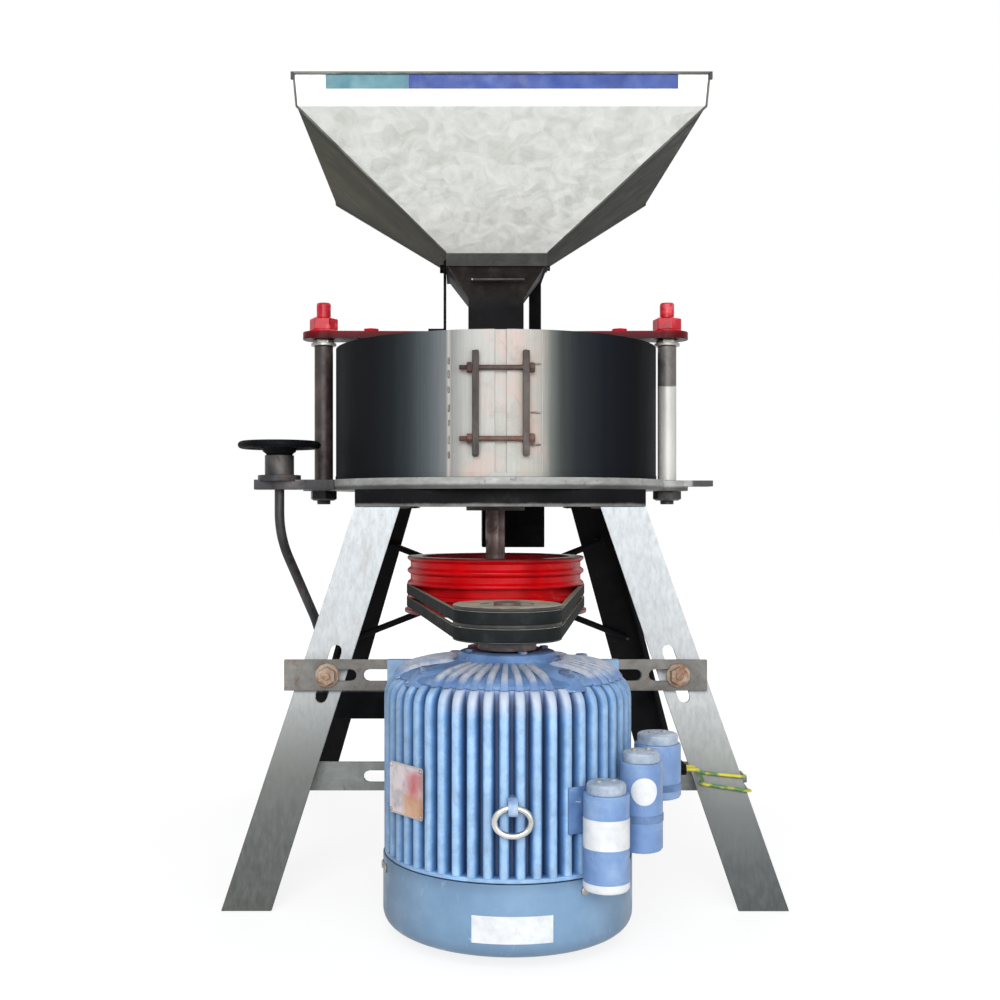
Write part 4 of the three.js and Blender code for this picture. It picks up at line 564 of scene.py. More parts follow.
def rail_finish(name, base, dark, light, rusts):
    """A rolled rail, with its mill scale, rubbed edges and rust about the bolts."""
    f = Finish(name)
    tone = f.ramp(f.noise(16, 6, 0.65, distortion=0.6), (0.3, *dark), (0.5, *base), (0.7, *light))
    lines = f.noise(220, 5, 0.6, size=(0.06, 1, 1))
    tone = f.blend(f.ramp(lines, (0.35, 0.35), (0.7, 0.0)), tone, shaded(base, 0.55))
    tone = f.patches(tone, (104, 76, 58), rusts - 0.08, rusts + 0.05, 0.85, 30, 7, 0.75, distortion=1.2)
    tone = f.patches(tone, (62, 58, 54), 0.6, 0.7, 0.6, 90, 6, 0.7)
    f.bump(lines, 0.12)
    return f.set(tone, f.ramp(lines, (0.3, 0.45), (0.75, 0.65)), 0.22)


def top_frame_finish():
    """Black brushed paint over the channel, rubbed to grey along its lower lip."""
    f = Finish("frame_black")
    tone = f.ramp(f.noise(22, 6, 0.65), (0.3, 14, 14, 16), (0.55, 24, 24, 26), (0.75, 46, 46, 48))
    level = f.between(f.math("ADD", f.axis(2), f.drift(0.003, 90, 5)), 0.4342, 0.4398)
    rubbed = f.ramp(f.noise(50, 6, 0.7), (0.3, 104, 103, 100), (0.7, 152, 151, 148))
    tone = f.blend(f.times(f.ramp(level, (0.4, 1.0), (0.9, 0.0)), 0.9), tone, rubbed)
    tone = f.patches(tone, (112, 108, 102), 0.69, 0.72, 0.9, 95, 6, 0.7, distortion=0.8)
    f.bump(f.noise(380, 4), 0.15)
    return f.set(tone, 0.55, spec=0.08)


def base_plate_finish():
    """A machined plate: bright turned edge, dark tail."""
    f = Finish("base_plate_steel")
    edge = f.ramp(f.noise(60, 5, 0.6, size=(1, 1, 3)), (0.3, 140, 141, 139), (0.55, 158, 159, 156),
                  (0.75, 182, 183, 180))
    edge = f.patches(edge, (96, 84, 74), 0.6, 0.68, 0.8, 70, 7, 0.74, distortion=1.0)
    tail = f.ramp(f.noise(40, 5), (0.3, 24, 24, 26), (0.7, 50, 50, 52))
    color = f.blend(f.step(f.radial()[0], 0.262, 0.266, 0.0, 1.0), edge, tail)
    level = f.between(f.math("ADD", f.axis(2), f.drift(0.002, 50, 4)), 0.4595, 0.4625)
    color = f.blend(f.ramp(level, (0.0, 0.85), (1.0, 0.0)), color, (40, 39, 38))
    return f.set(color, 0.45, 0.1)


def spout_finish():
    """Black spout whose flared top is dusted to a brownish grey."""
    f = Finish("spout_black")
    high = f.step(f.math("ADD", f.axis(2), f.drift(0.02, 45, 5)), 0.695, 0.722, 0.0, 1.0)
    low = f.ramp(f.noise(22, 5, 0.65), (0.3, 11, 11, 13), (0.7, 24, 24, 27))
    dusted = f.ramp(f.noise(50, 6, 0.68), (0.3, 34, 30, 29), (0.55, 48, 44, 42), (0.8, 74, 69, 66))
    f.bump(f.noise(380, 4), 0.12)
    return f.set(f.blend(high, low, dusted), 0.58, spec=0.08)


def stone_finish():
    f = Finish("millstone")
    tone = f.ramp(f.noise(26, 7, 0.7), (0.3, 120, 114, 104), (0.55, 150, 144, 132), (0.75, 186, 180, 168))
    speck = f.ramp(f.cells(420, "Distance"), (0.1, 0.8), (0.3, 0.0))
    f.bump(f.noise(320, 8, 0.75), 0.6, 0.002)
    return f.set(f.blend(speck, tone, (70, 66, 60)), 0.95)


def cast_finish():
    f = Finish("bare_casting")
    tone = f.ramp(f.noise(30, 6, 0.65), (0.3, 48, 46, 46), (0.5, 70, 68, 66), (0.75, 104, 98, 92))
    f.bump(f.noise(480, 6, 0.7), 0.35, 0.001)
    return f.set(tone, f.ramp(f.noise(70), (0.3, 0.5), (0.7, 0.75)), 0.35)


# name, base, dark and light tones, then chips' tone, gloss, where chips start, coarseness, grime and specular level
PAINTS = {
    # The corner tips are painted dark as shade.
    "dark_tip": ("corner_tip_black", (34, 36, 36), (20, 20, 20), (70, 70, 70), None, 0.5, 0.7, 60),
    "strip_blue": ("bare_strip_blue", (38, 66, 142), (30, 54, 126), (50, 82, 158), None, 0.5, 0.7, 24, 0.1),
    "strip_teal": ("bare_strip_teal", (76, 126, 138), (64, 112, 124), (92, 142, 152), None, 0.5, 0.7, 24, 0.1),
    "black": ("black_paint", (17, 18, 21), (8, 9, 11), (36, 36, 38), (96, 88, 80), 0.55, 0.72, 22, 0.35, 0.06),
    "sleeve": ("sleeve_dark", (52, 40, 38), (34, 26, 26), (86, 74, 70), (130, 120, 112), 0.45, 0.72, 40),
    "red_nut": ("red_nut_paint", (214, 26, 46), (158, 8, 30), (246, 132, 138), (90, 34, 38), 0.32, 0.7, 60, 0.35, 0.3),
    "blue": ("blue_paint", (100, 134, 180), (74, 106, 152), (140, 168, 206), (206, 208, 218), 0.42, 0.68, 30, 0.35,
             0.2),
    "ear_blue": ("ear_paint", (100, 136, 184), (74, 108, 156), (140, 170, 208), (206, 206, 214), 0.42, 0.68, 26),
    "lug_paint": ("lug_paint", (150, 176, 210), (110, 140, 180), (196, 210, 226), (222, 222, 224), 0.4, 0.62, 60),
    "bolt_blue": ("bolt_blue_paint", (96, 118, 152), (58, 72, 96), (150, 168, 198), (176, 150, 130), 0.4, 0.6, 90),
    "can_blue": ("can_sleeve", (116, 148, 194), (98, 130, 180), (146, 172, 208), None, 0.3, 0.7, 26, 0.15),
    "can_cap": ("can_cap", (164, 178, 194), (132, 148, 168), (196, 206, 216), None, 0.4, 0.7, 70, 0.3),
    "can_strap": ("can_band_blue", (92, 122, 166), (70, 98, 140), (124, 152, 192), None, 0.4, 0.7, 40),
    "can_label": ("bare_can_label", (220, 222, 224), (206, 208, 212), (230, 231, 232), None, 0.45, 0.7, 60, 0.12),
    "label": ("bare_label", (222, 225, 228), (204, 208, 212), (234, 235, 236), None, 0.5, 0.7, 60, 0.12),
    "fan": ("fan_plastic", (30, 31, 33), (20, 21, 23), (50, 51, 54), None, 0.55, 0.7, 30),
}
EVEN, UPRIGHT, LEVEL = (1, 1, 1), (1, 1, 0.1), (0.05, 1, 1)
# name, base, dark and light tones, then metal, roughness, way and scale of the grain, rust's tone and where it starts
STEELS = {
    "drum_edge": ("jacket_edge", (176, 172, 168), (140, 138, 134), (206, 202, 198), 0.3, 0.4, UPRIGHT, 200),
    "seam": ("folded_seam", (96, 98, 92), (60, 60, 54), (150, 150, 144), 0.3, 0.5, EVEN, 200),
    "rusty": ("rusty_steel", (96, 74, 66), (58, 42, 36), (136, 112, 100), 0.2, 0.6, EVEN, 300, (108, 64, 50), 0.54),
    "rusty_dark": ("rusty_dark_steel", (66, 54, 50), (40, 31, 28), (104, 90, 84), 0.2, 0.6, EVEN, 300, (84, 54, 44),
                   0.56),
    "bar": ("clamp_bar_steel", (60, 53, 49), (40, 34, 31), (100, 92, 86), 0.2, 0.6, (1, 1, 0.2), 240, (86, 60, 50),
            0.64),
    "bolt": ("bolt_steel", (166, 147, 128), (118, 98, 82), (200, 182, 162), 0.35, 0.5, EVEN, 300, (136, 92, 68), 0.54),
    "rod": ("rod_steel", (50, 50, 53), (28, 28, 30), (92, 88, 86), 0.4, 0.45, UPRIGHT, 300, (86, 62, 52), 0.66),
    "spindle": ("spindle_steel", (112, 92, 90), (64, 46, 44), (156, 138, 134), 0.3, 0.34, (1, 1, 0.3), 240,
                (96, 60, 50), 0.58),
    "plate": ("plate_steel", (166, 166, 162), (118, 118, 116), (196, 196, 192), 0.3, 0.42, LEVEL, 200, (126, 84, 62),
              0.7),
    "chrome": ("ring_plating", (206, 206, 200), (170, 170, 164), (230, 230, 226), 0.9, 0.22, EVEN, 200,
               (150, 128, 96), 0.72),
    "zinc_nut": ("plated_steel", (168, 166, 160), (128, 126, 120), (206, 204, 198), 0.5, 0.35, EVEN, 240,
                 (140, 116, 92), 0.66),
    "weld": ("weld_bead", (126, 120, 112), (78, 70, 62), (176, 170, 160), 0.35, 0.5, EVEN, 300, (120, 80, 58), 0.6),
    "weld_dark": ("weld_bead_dark", (44, 40, 38), (26, 24, 24), (84, 78, 72), 0.3, 0.55, EVEN, 300),
}
RAILS = {
    "rail": ("rail_steel", (118, 117, 113), (84, 80, 76), (150, 147, 142), 0.6),
    "low_rail": ("low_rail_steel", (136, 140, 136), (104, 106, 102), (164, 168, 164), 0.66),
}
SINGLE = {
    "leg": leg_finish, "drum": drum_finish, "zinc": zinc_sheet, "stone": stone_finish, "rubber": belt_finish,
    "dark_frame": top_frame_finish, "spout": spout_finish, "sleeve_pale": sleeve_finish, "red": red_pulley_finish,
    "base_plate": base_plate_finish, "red_cast": casting_red_finish, "motor": motor_finish, "rib": rib_finish,
    "cowl_blue": cowl_finish, "nameplate": nameplate_finish, "cast": cast_finish, "pulley_cast": small_pulley_finish,
    "lead": lead_finish,
}
# A slot name for each finish that a piece wears
SLOTS = {
    "bareSteel": "weld", "blackPaint": "weld_dark black", "blackened": "drum drum_edge", "beltRubber": "rubber",
    "galvanised": "seam dark_tip strip_blue strip_teal", "darkSteel": "dark_frame rod sleeve sleeve_pale",
    "rusty": "rusty rusty_dark bar bolt pulley_cast", "zinc": "spindle zinc_nut", "redPaint": "red red_nut",
    "bluePaint": "blue motor rib ear_blue lug_paint bolt_blue cowl_blue label nameplate",
    "canBlue": "can_blue can_cap can_strap can_label", "chromed": "chrome",
}
# The finish of each CAD node, by the start of its name
NODES = {
    "dark_frame": "top_frame", "rail": "upper_motor_rail", "low_rail": "lower_motor_rail", "bolt": "rail_bolt",
    "black": "rear_brace footstep_bridge tentering_lever outlet_chute hopper_support handwheel terminal_box",
    "cast": "footstep_bracket footstep_cup neck_bearing runner_plate",
    "rod": "lever_pin tie_bolt handwheel_arm lift_rod", "stone": "fixed_stone runner_stone",
    "spindle": "spindle motor_shaft", "base_plate": "base_plate", "drum": "stone_jacket", "bar": "clamp_bar",
    "rusty": "clamp_bolt", "red_cast": "top_casting", "red_nut": "tie_nut", "zinc": "hopper", "spout": "feed_spout",
    "plate": "feed_gate", "red": "driven_pulley", "pulley_cast": "motor_pulley", "rubber": "v_belt",
    "motor": "motor_frame", "blue": "drive_end_shield fan_end_shield capacitor_strap", "cowl_blue": "fan_cowl",
    "fan": "cooling_fan", "can_blue": "capacitor", "chrome": "lifting_ring", "lead": "earth_lead",
}


def by_word(table):
    return {word: key for key, words in table.items() for word in words.split()}


SLOT_OF, FINISH_OF = by_word(SLOTS), by_word(NODES)
M = {}


def make_materials():
    for rows, finish in ((PAINTS, painted), (STEELS, steel), (RAILS, rail_finish)):
        for key, row in rows.items():
            M[key] = finish(*row)
    for key, finish in SINGLE.items():
        M[key] = finish()


# ---------------------------------------------------------------- building pieces
def dress(obj, key, width=0.0006, angle=38):
    """Gives an object its material, soft edges and smooth round faces."""
    obj.data.materials.clear()
    obj.data.materials.append(M[key])
    if "custom_normal" in obj.data.attributes:
        obj.data.attributes.remove(obj.data.attributes["custom_normal"])
    for poly in obj.data.polygons:
        poly.use_smooth = True
    weld = obj.modifiers.new("weld", "WELD")
    weld.merge_threshold = 0.00002
    if width:
        soft = obj.modifiers.new("soft_edges", "BEVEL")
        soft.width = width
        soft.segments = 2
        soft.limit_method = "ANGLE"
        soft.angle_limit = math.radians(angle)
        soft.harden_normals = False
    even = obj.modifiers.new("even_normals", "WEIGHTED_NORMAL")
    even.keep_sharp = False
    even.weight = 80


def dress_nodes():
    widths = {"top_casting": 0.0016, "motor_frame": 0.0012, "drive_end_shield": 0.002, "feed_spout": 0.0005,
              "hopper": 0.0005, "outlet_chute": 0.0005}
    starts = sorted(FINISH_OF, key=len, reverse=True)
    for name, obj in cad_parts.items():
        key = next((FINISH_OF[start] for start in starts if name.startswith(start)), "leg")
        dress(obj, key, widths.get(name, 0.0007))


def made(name, verts, faces, key, body=ROOT, width=0.0005, replaces=()):
    """A mesh piece in the row frame, from points in millimetres."""
    mesh = bpy.data.meshes.new(name)
    mesh.from_pydata([tuple(P(*v)) for v in verts], [], faces)
    bm = bmesh.new()
    bm.from_mesh(mesh)
    bmesh.ops.remove_doubles(bm, verts=bm.verts, dist=0.000002)
    bmesh.ops.recalc_face_normals(bm, faces=bm.faces)
    bm.to_mesh(mesh)
    bm.free()
    obj = added(name, mesh)
    dress(obj, key, width, 34)
    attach(obj, body)
    if replaces:
        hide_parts(*replaces)
    return obj


def several(name, parts, key, **more):
    """One piece from several lists of points and faces."""
    verts, faces = [], []
    for points, rings in parts:
        base = len(verts)
        verts += [tuple(p) for p in points]
        faces += [[base + k for k in ring] for ring in rings]
    return made(name, verts, faces, key, **more)


def quads(rows, count, round_rows=False, round_columns=True):
    """The faces between rows of points, count to a row."""
    faces = []
    for i in range(rows if round_rows else rows - 1):
        j = (i + 1) % rows
        for k in range(count if round_columns else count - 1):
            n = (k + 1) % count
            faces.append([i * count + k, i * count + n, j * count + n, j * count + k])
    return faces


def prism(ring, far_ring):
    """A closed body between two outlines of the same number of points."""
    n = len(ring)
    return [*ring, *far_ring], [list(range(n))[::-1], list(range(n, 2 * n)), *quads(2, n)]


def block(x0, x1, y0, y1, z0, z1):
    return prism(*([(x, y, z) for x, y in ((x0, y0), (x1, y0), (x1, y1), (x0, y1))] for z in (z0, z1)))


def basis(way):
    way = Vector(way).normalized()
    side = Vector((1, 0, 0)) if abs(way.x) < 0.8 else Vector((0, 1, 0))
    side = (side - way * side.dot(way)).normalized()
    return side, way.cross(side), way


def turned(outline, at=(0, 0, 0), way=(0, 0, 1), sides=96, closed=True, start=0.0):
    """Points and faces of an outline of (radius, height) turned about an axis."""
    u, v, w = basis(way)
    at = Vector(at)
    verts, faces = [], []
    for r, h in outline:
        for k in range(sides):
            a = start + 2 * math.pi * k / sides
            verts.append(at + u * (r * math.cos(a)) + v * (r * math.sin(a)) + w * h)
    count = len(outline)
    for i in range(count if closed else count - 1):
        j = (i + 1) % count
        if outline[i][0] == 0 and outline[j][0] == 0:
            continue
        for k in range(sides):
            n = (k + 1) % sides
            ring = [i * sides + k, i * sides + n, j * sides + n, j * sides + k]
            if outline[i][0] == 0:
                ring = [ring[0], ring[2], ring[3]]
            elif outline[j][0] == 0:
                ring = [ring[0], ring[1], ring[3]]
            faces.append(ring)
    return verts, faces


def lathe(name, outline, key, at=(0, 0, 0), way=(0, 0, 1), sides=96, closed=True, **more):
    return made(name, *turned(outline, at, way, sides, closed), key, **more)


def knob(at, sides, *outline, way=(0, 0, 1)):
    """A small turned body whose outline starts and ends on its axis."""
    return turned(outline, at, way, sides, False)


def hexagon(radius, height, at, way=(0, 0, 1), start=0.0, crown=0.22, hole=0):
    """A six-sided nut or bolt head with its top corners turned off."""
    c = radius * crown
    outline = [(hole, 0), (radius, 0), (radius, height - c * 0.55), (radius - c, height), (hole, height)]
    return turned(outline, at, way, 6, bool(hole), start)


def thread(radius, length, pitch, at, way=(0, 0, 1), depth=0.55, sides=28):
    """A screwed length of rod, with its turns as one helix and a turned-off end."""
    u, v, w = basis(way)
    at = Vector(at)
    rows = int(length / pitch * 2) + 6
    verts, faces = [], []
    for i in range(rows):
        for k in range(sides):
            a = 2 * math.pi * k / sides
            h = min(max((i - 1 + 2 * k / sides) * pitch / 2 - pitch, 0), length)
            r = radius - depth * (i % 2)
            if h > length - pitch:
                r = min(r, radius - (h - length + pitch) * 0.5)
            verts.append(at + u * (r * math.cos(a)) + v * (r * math.sin(a)) + w * h)
    for i in range(rows - 1):
        for k in range(sides):
            n = (k + 1) % sides
            up = 2 if n == 0 else 0
            if i + 1 + up < rows:
                faces.append([i * sides + k, (i + up) * sides + n, (i + 1 + up) * sides + n, (i + 1) * sides + k])
    faces.append([(rows - 1) * sides + k for k in range(sides)])
    return verts, faces


def tube(points, radius, sides=16, closed=False):
    """A round tube along points, with its section carried along without twist. radius may be a list."""
    points = [Vector(p) for p in points]
    count = len(points)
    ways = []
    for i in range(count):
        a = points[(i - 1) % count] if closed or i else points[i]
        b = points[(i + 1) % count] if closed or i < count - 1 else points[i]
        ways.append((b - a).normalized())
    side = basis(ways[0])[0]
    verts, faces = [], quads(count, sides, closed)
    for i, point in enumerate(points):
        side = (side - ways[i] * side.dot(ways[i])).normalized()
        up = ways[i].cross(side)
        r = radius[i] if isinstance(radius, list) else radius
        for k in range(sides):
            a = 2 * math.pi * k / sides
            verts.append(point + side * (r * math.cos(a)) + up * (r * math.sin(a)))
    if not closed:
        faces += [list(range(sides))[::-1], [(count - 1) * sides + k for k in range(sides)]]
    return verts, faces


def line(a, b, steps):
    a, b = Vector(a), Vector(b)
    return [a.lerp(b, k / steps) for k in range(steps + 1)]


def bead(a, b, radius=1.8):
    """A run of weld from a to b, in overlapping ripples."""
    a, b = Vector(a), Vector(b)
    count = max(4, int((b - a).length / 2.2) * 3)
    points, sizes = [], []
    for k in range(count + 1):
        t = k / count
        drift = Vector([random.uniform(-0.12, 0.12) * radius for _ in range(3)])
        points.append(a.lerp(b, t) + drift)
        ripple = 1 - 0.22 * abs(math.sin(k * math.pi / 3))
        end = min(1, 0.45 + 6 * min(t, 1 - t))
        sizes.append(radius * ripple * end * random.uniform(0.92, 1.06))
    return tube(points, sizes, 8)


def polar(radius, angle, z, x=0, y=0):
    """A point round an upright axis; the angle is 0 at the front and grows to the right."""
    t = math.radians(angle)
    return Vector((x + radius * math.sin(t), y - radius * math.cos(t), z))


def around(angle, radius, z):
    """A point round the motor's axis."""
    return polar(radius, angle, z, 0, MY)


def ways_at(angle):
    """The ways out from an upright axis and across it, to the right, at an angle."""
    return polar(1, angle, 0), polar(1, angle + 90, 0)


def arc(radius, a0, a1, z, steps, x=0, y=0):
    return [polar(radius, a0 + (a1 - a0) * k / steps, z, x, y) for k in range(steps + 1)]


def plate(inner, outer, a0, a1, z0, z1, steps=24, x=0, y=0):
    """A curved plate round an upright axis, between two radii and two heights."""
    rows = [arc(r, a0, a1, z, steps, x, y) for r, z in ((inner, z0), (outer, z0), (outer, z1), (inner, z1))]
    n = steps + 1
    ends = [[i * n + k for i in range(4)] for k in (0, steps)]
    return [p for row in rows for p in row], quads(4, n, True, False) + ends


# ---------------------------------------------------------------- earth lead
def lead_run(gland, drop):
    """One wire's way from its gland to the leg, down its front face and round to its side."""
    stops = (("free", 0, 0), ("free", 0, 8), ("free", 0.2, 17), ("free", 0.5, 25), ("face", 0.75, 50),
             ("face", 0.82, 34), ("face", 0.88, 18), ("face", 0.93, 5), ("side", 0.96, 5), ("side", 1, 14))
    points = []
    for kind, share, along in stops:
        z = BOX_MIDDLE - drop * share
        front, side = -front_face(z) - 4, side_face(z) + 4
        if kind == "free":
            points.append((190.3 + along, gland + (front - gland) * share, z))
        elif kind == "face":
            points.append((side - along, front, z))
        else:
            points.append((side, front + along, z))
    return points


def earth_lead():
    """The earth lead: out to the stud on the leg, round it, and back to the terminal box."""
    stud = BOX_MIDDLE - 31
    bend = []
    for k in range(5):
        a = math.pi * k / 4
        z = stud + 7.8 * math.cos(a)
        bend.append((side_face(z) + 4, 30 - front_face(stud) + 7.8 * math.sin(a), z))
    gland = MY + 37
    points = lead_run(gland, 23.2) + bend + lead_run(gland + 14, 38.8)[::-1]
    curve = bpy.data.curves.new("earth_wire", "CURVE")
    curve.dimensions = "3D"
    curve.bevel_depth = 0.0018
    curve.bevel_resolution = 5
    curve.resolution_u = 8
    run = curve.splines.new("BEZIER")
    run.bezier_points.add(len(points) - 1)
    for knot, point in zip(run.bezier_points, points):
        knot.co = P(*point)
        knot.handle_left_type = knot.handle_right_type = "AUTO"
    curve.materials.append(M["lead"])
    obj = added("earth_wire", curve)
    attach(obj, ROOT)
    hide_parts("earth_lead")


# ---------------------------------------------------------------- hopper and feed
def hopper_pieces():
    lip = [(sx * 243.2, sy * 243.2, RIM - 1.6) for sx, sy in CORNERS]
    for k, (a, b) in enumerate(zip(lip, lip[1:] + lip[:1])):
        several("rim_wire_%d" % (k + 1), [tube(line(a, b, 12), 1.5, 10)], "seam", width=0)
    low, top, wide = 65.6, 238.6, 241.6
    for k, (sx, sy) in enumerate(CORNERS):
        edge = line((sx * low, sy * low, THROAT + 18), (sx * top, sy * top, CONE_TOP), 14)
        band = line((sx * top, sy * top, CONE_TOP), (sx * wide, sy * wide, RIM - 3), 4)
        several("hopper_seam_%d" % (k + 1), [tube(edge, 1.5, 8), tube(band, 1.3, 8)], "seam", width=0)
        # Small dark blocks at the rim's corners: painted shade.
        x, y = ([s * 241.2, s * 244.8] for s in (sx, sy))
        several("corner_tip_%d" % (k + 1), [block(*x, *y, RIM - 9, RIM - 0.2)], "dark_tip")

    def on_band(x, z, proud):
        return x, -238.5 - (z - CONE_TOP) * 3 / 36.7 - proud, z

    foot, head = 920.5, 936.6
    for name, x0, x1, key in (("band_strip_short", -204.5, -108.5, "strip_teal"),
                              ("band_strip_long", -108.3, 205.5, "strip_blue")):
        outline = ((x0, foot), (x1, foot), (x1, head), (x0, head))
        strip = prism(*([on_band(x, z, proud) for x, z in outline] for proud in (0.05, 0.4)))
        several(name, [strip], key, width=0.0001)
    # the gate's guide shows as a bright edge on the front of the spout
    several("gate_guide", [block(-31, 36, -63.2, -62.2, 730, 732.6)], "bar", width=0.0003)
    for k, (sign, y) in enumerate(((-1, 8), (1, -2))):
        at, way = (sign * 65.2, y, 757), (sign, 0, 0)
        bolt = [hexagon(6.4, 4.6, at, way), knob(at, 20, (0, 0), (3.6, 0), (3.6, 8.5), (0, 9), way=way)]
        several("collar_bolt_%d" % (k + 1), bolt, "rod", width=0.0003)


# ---------------------------------------------------------------- jacket and its clamp
def jacket_pieces():
    bottom, top = PLATE_TOP + SEAT, JACKET_TOP
    shell = plate(JACKET - 3, JACKET, 1.9, 358.1, bottom, top, 178)
    lap = plate(JACKET - 6, JACKET - 3.1, -19, 10, bottom, top, 24)
    several("jacket_shell", [shell, lap], "drum", width=0.0004, replaces=["stone_jacket"])
    several("jacket_hems", [plate(JACKET, JACKET + 0.7, -150, 150, bottom, bottom + 5, 120)], "drum", width=0.0003)
    tacks = []
    for z, size in ((612, 8), (597, 10), (577, 7), (556, 9), (538, 7), (519, 10), (500, 8)):
        tacks.append(bead((-61.5 + random.uniform(-0.8, 0.8), -206.2, z), (-61.5, -206.2, z - size), 1.5))
    for z in (604, 546, 507):
        tacks.append(bead((35.5, -212.1, z), (47.5, -209.8, z + random.uniform(-1.5, 1.5)), 1.6))
    several("jacket_tacks", tacks, "weld", width=0)
    edge = line(polar(JACKET + 0.15, 13.3, bottom + 1), polar(JACKET + 0.15, 13.3, top - 1), 20)
    several("jacket_lap_edge", [tube(edge, 0.55, 6)], "drum_edge", width=0)
    y = -math.sqrt(JACKET ** 2 - 26 ** 2) - SEAT - 4.5
    for side, node in ((-1, "clamp_bar_left"), (1, "clamp_bar_right")):
        for k, (z, dip) in enumerate(((494.9, -0.4), (618.9, 0.4))):
            weld = bead((side * 27, y + 3.4, z + dip), (side * 33, y + 4.6, z), 1.5)
            several("%s_weld_%d" % (node, k + 1), [weld], "weld", width=0)
    half = 34.5
    for name, z, key in (("lower", 514.9, "rusty"), ("upper", 598.9, "rusty_dark")):
        end = (-half + 0.1, y, z)
        parts = [
            knob((0, y, z), 24, (0, -half), (3.1, -half), (3.1, half), (0, half), way=(1, 0, 0)),
            thread(3.15, 15, 1.25, end, (-1, 0, 0), 0.4, 20),
            hexagon(6.4, 6, end, (-1, 0, 0), random.uniform(0, 1), hole=3),
            hexagon(6.4, 6, (half - 0.1, y, z), (1, 0, 0), random.uniform(0, 1)),
        ]
        several("clamp_rod_%s" % name, parts, key, width=0.0002, replaces=["clamp_bolt_%s" % name])


# ---------------------------------------------------------------- tie bolts
def tie_pieces():
    low = PLATE_TOP - 14
    lug = JACKET_TOP + 15
    top = lug + 10
    for name, (x, y) in TIES.items():
        at = (x, y, 0)
        sleeve = [(r, z) for z, rs in ((PLATE_TOP + SEAT, (9.6, 12.5)), (lug - 8.6, (12.5, 9.6))) for r in rs]
        key = "sleeve_pale" if name == "right" else "sleeve"
        lathe("sleeve_%s" % name, sleeve, key, at, sides=48, replaces=["tie_bolt_%s" % name], width=0.0006)
        under = [turned([(9.8, lug - 8.3), (17, lug - 8.3), (17, lug - 4.6), (9.8, lug - 4.6)], at, sides=40),
                 turned([(9.8, lug - 4.5), (14.5, lug - 4.5), (14.5, lug - 0.4), (9.8, lug - 0.4)], at, sides=6)]
        several("under_washer_%s" % name, under, "zinc_nut", width=0.0004)
        down = (0, 0, -1)
        foot = [hexagon(19, 12.7, (x, y, low - SEAT), down, 0.3, hole=9.4),
                thread(9.3, 6, 1.75, (x, y, low - 12), down, 0.5, 28),
                turned([(9.4, low - 0.4), (9.4, low - 13), (0, low - 13), (0, low - 0.4)], at, sides=28)]
        several("low_nut_%s" % name, foot, "rod", width=0.0005)
        stub = [thread(9.9, 19.9, 2.1, (x, y, top + 19.9), depth=0.6, sides=40),
                knob(at, 32, (0, lug), (9.3, lug), (9.3, top + 21), (0, top + 21))]
        several("stub_%s" % name, stub, "red_nut", width=0)
        washer = [(9.8, top + SEAT), (20, top + SEAT), (20, top + 2.6), (18.8, top + 3.2), (9.8, top + 3.2)]
        nut = [turned(washer, at, sides=48),
               hexagon(19.4, 16.4, (x, y, top + 3.2), start=0.35 + 0.4 * x / 232, crown=0.16, hole=9.8)]
        several("nut_%s" % name, nut, "red_nut", width=0.0008, replaces=["tie_nut_%s" % name])


# ---------------------------------------------------------------- tentering gear
def wheel_pieces():
    x, y = WHEEL
    bottom, top = span("handwheel")
    rim_z = top - 6

    def spot(r, a, z):
        return x + r * math.cos(a), y + r * math.sin(a), z

    points, faces = tube([spot(48, 2 * math.pi * k / 72, rim_z) for k in range(72)], 5.9, 18, True)
    parts = [([Vector((p.x, p.y, rim_z + (p.z - rim_z) * 0.86)) for p in points], faces)]
    for i in range(5):
        arm = []
        for k in range(13):
            t = k / 12
            arm.append(spot(9 + t * 38, 2 * math.pi * i / 5, rim_z + 1.2 - 1.6 * math.sin(math.pi * t)))
        parts.append(tube(arm, [5.6 - 1.7 * k / 12 for k in range(13)], 12))
    several("wheel_rim", parts, "black", body="handwheel", width=0, replaces=["handwheel"])
    hub = [(6.9, bottom), (17, bottom), (17.6, bottom + 1.5), (21, bottom + 4), (24, rim_z - 4), (24.6, rim_z),
           (23.4, rim_z + 3.4), (17.5, top - 1.2), (16.5, top), (6.9, top)]
    lathe("wheel_hub", hub, "black", (x, y, 0), sides=64, body="handwheel", width=0.0004)
    lock_nut = hexagon(10, 2.2, (x, y, top - 2.4), start=0.2)
    several("wheel_lock_nut", [lock_nut], "rod", body="handwheel", width=0.0002)


def rod_pieces():
    low, top = span("lift_rod")
    high_bend, low_bend = Vector((*WHEEL, 395.6)), Vector((ROD_FOOT, 0, 262))
    slope = (low_bend - high_bend).normalized()
    up = Vector((0, 0, 1))

    def turn(a, b, c, steps=12):
        return [a * (1 - t) ** 2 + b * 2 * t * (1 - t) + c * t * t for t in (k / steps for k in range(steps + 1))]

    r = 32.5
    path = line((*WHEEL, top), high_bend + up * r, 6)[:-1]
    path += turn(high_bend + up * r, high_bend, high_bend + slope * r)
    path += line(high_bend + slope * r, low_bend - slope * r, 6)[1:-1]
    path += turn(low_bend - slope * r, low_bend, low_bend - up * r)
    path += line(low_bend - up * r, (ROD_FOOT, 0, low), 6)[1:]
    several("lift_rod_bar", [tube(path, 6.4, 24)], "rod", body="lift_rod", width=0, replaces=["lift_rod"])
    collar = hexagon(12.5, 13, (ROD_FOOT, 0, 147.7), (0, 0, -1), 0.4, hole=6.5)
    several("lift_rod_collar", [collar], "rod", body="lift_rod", width=0.0005)


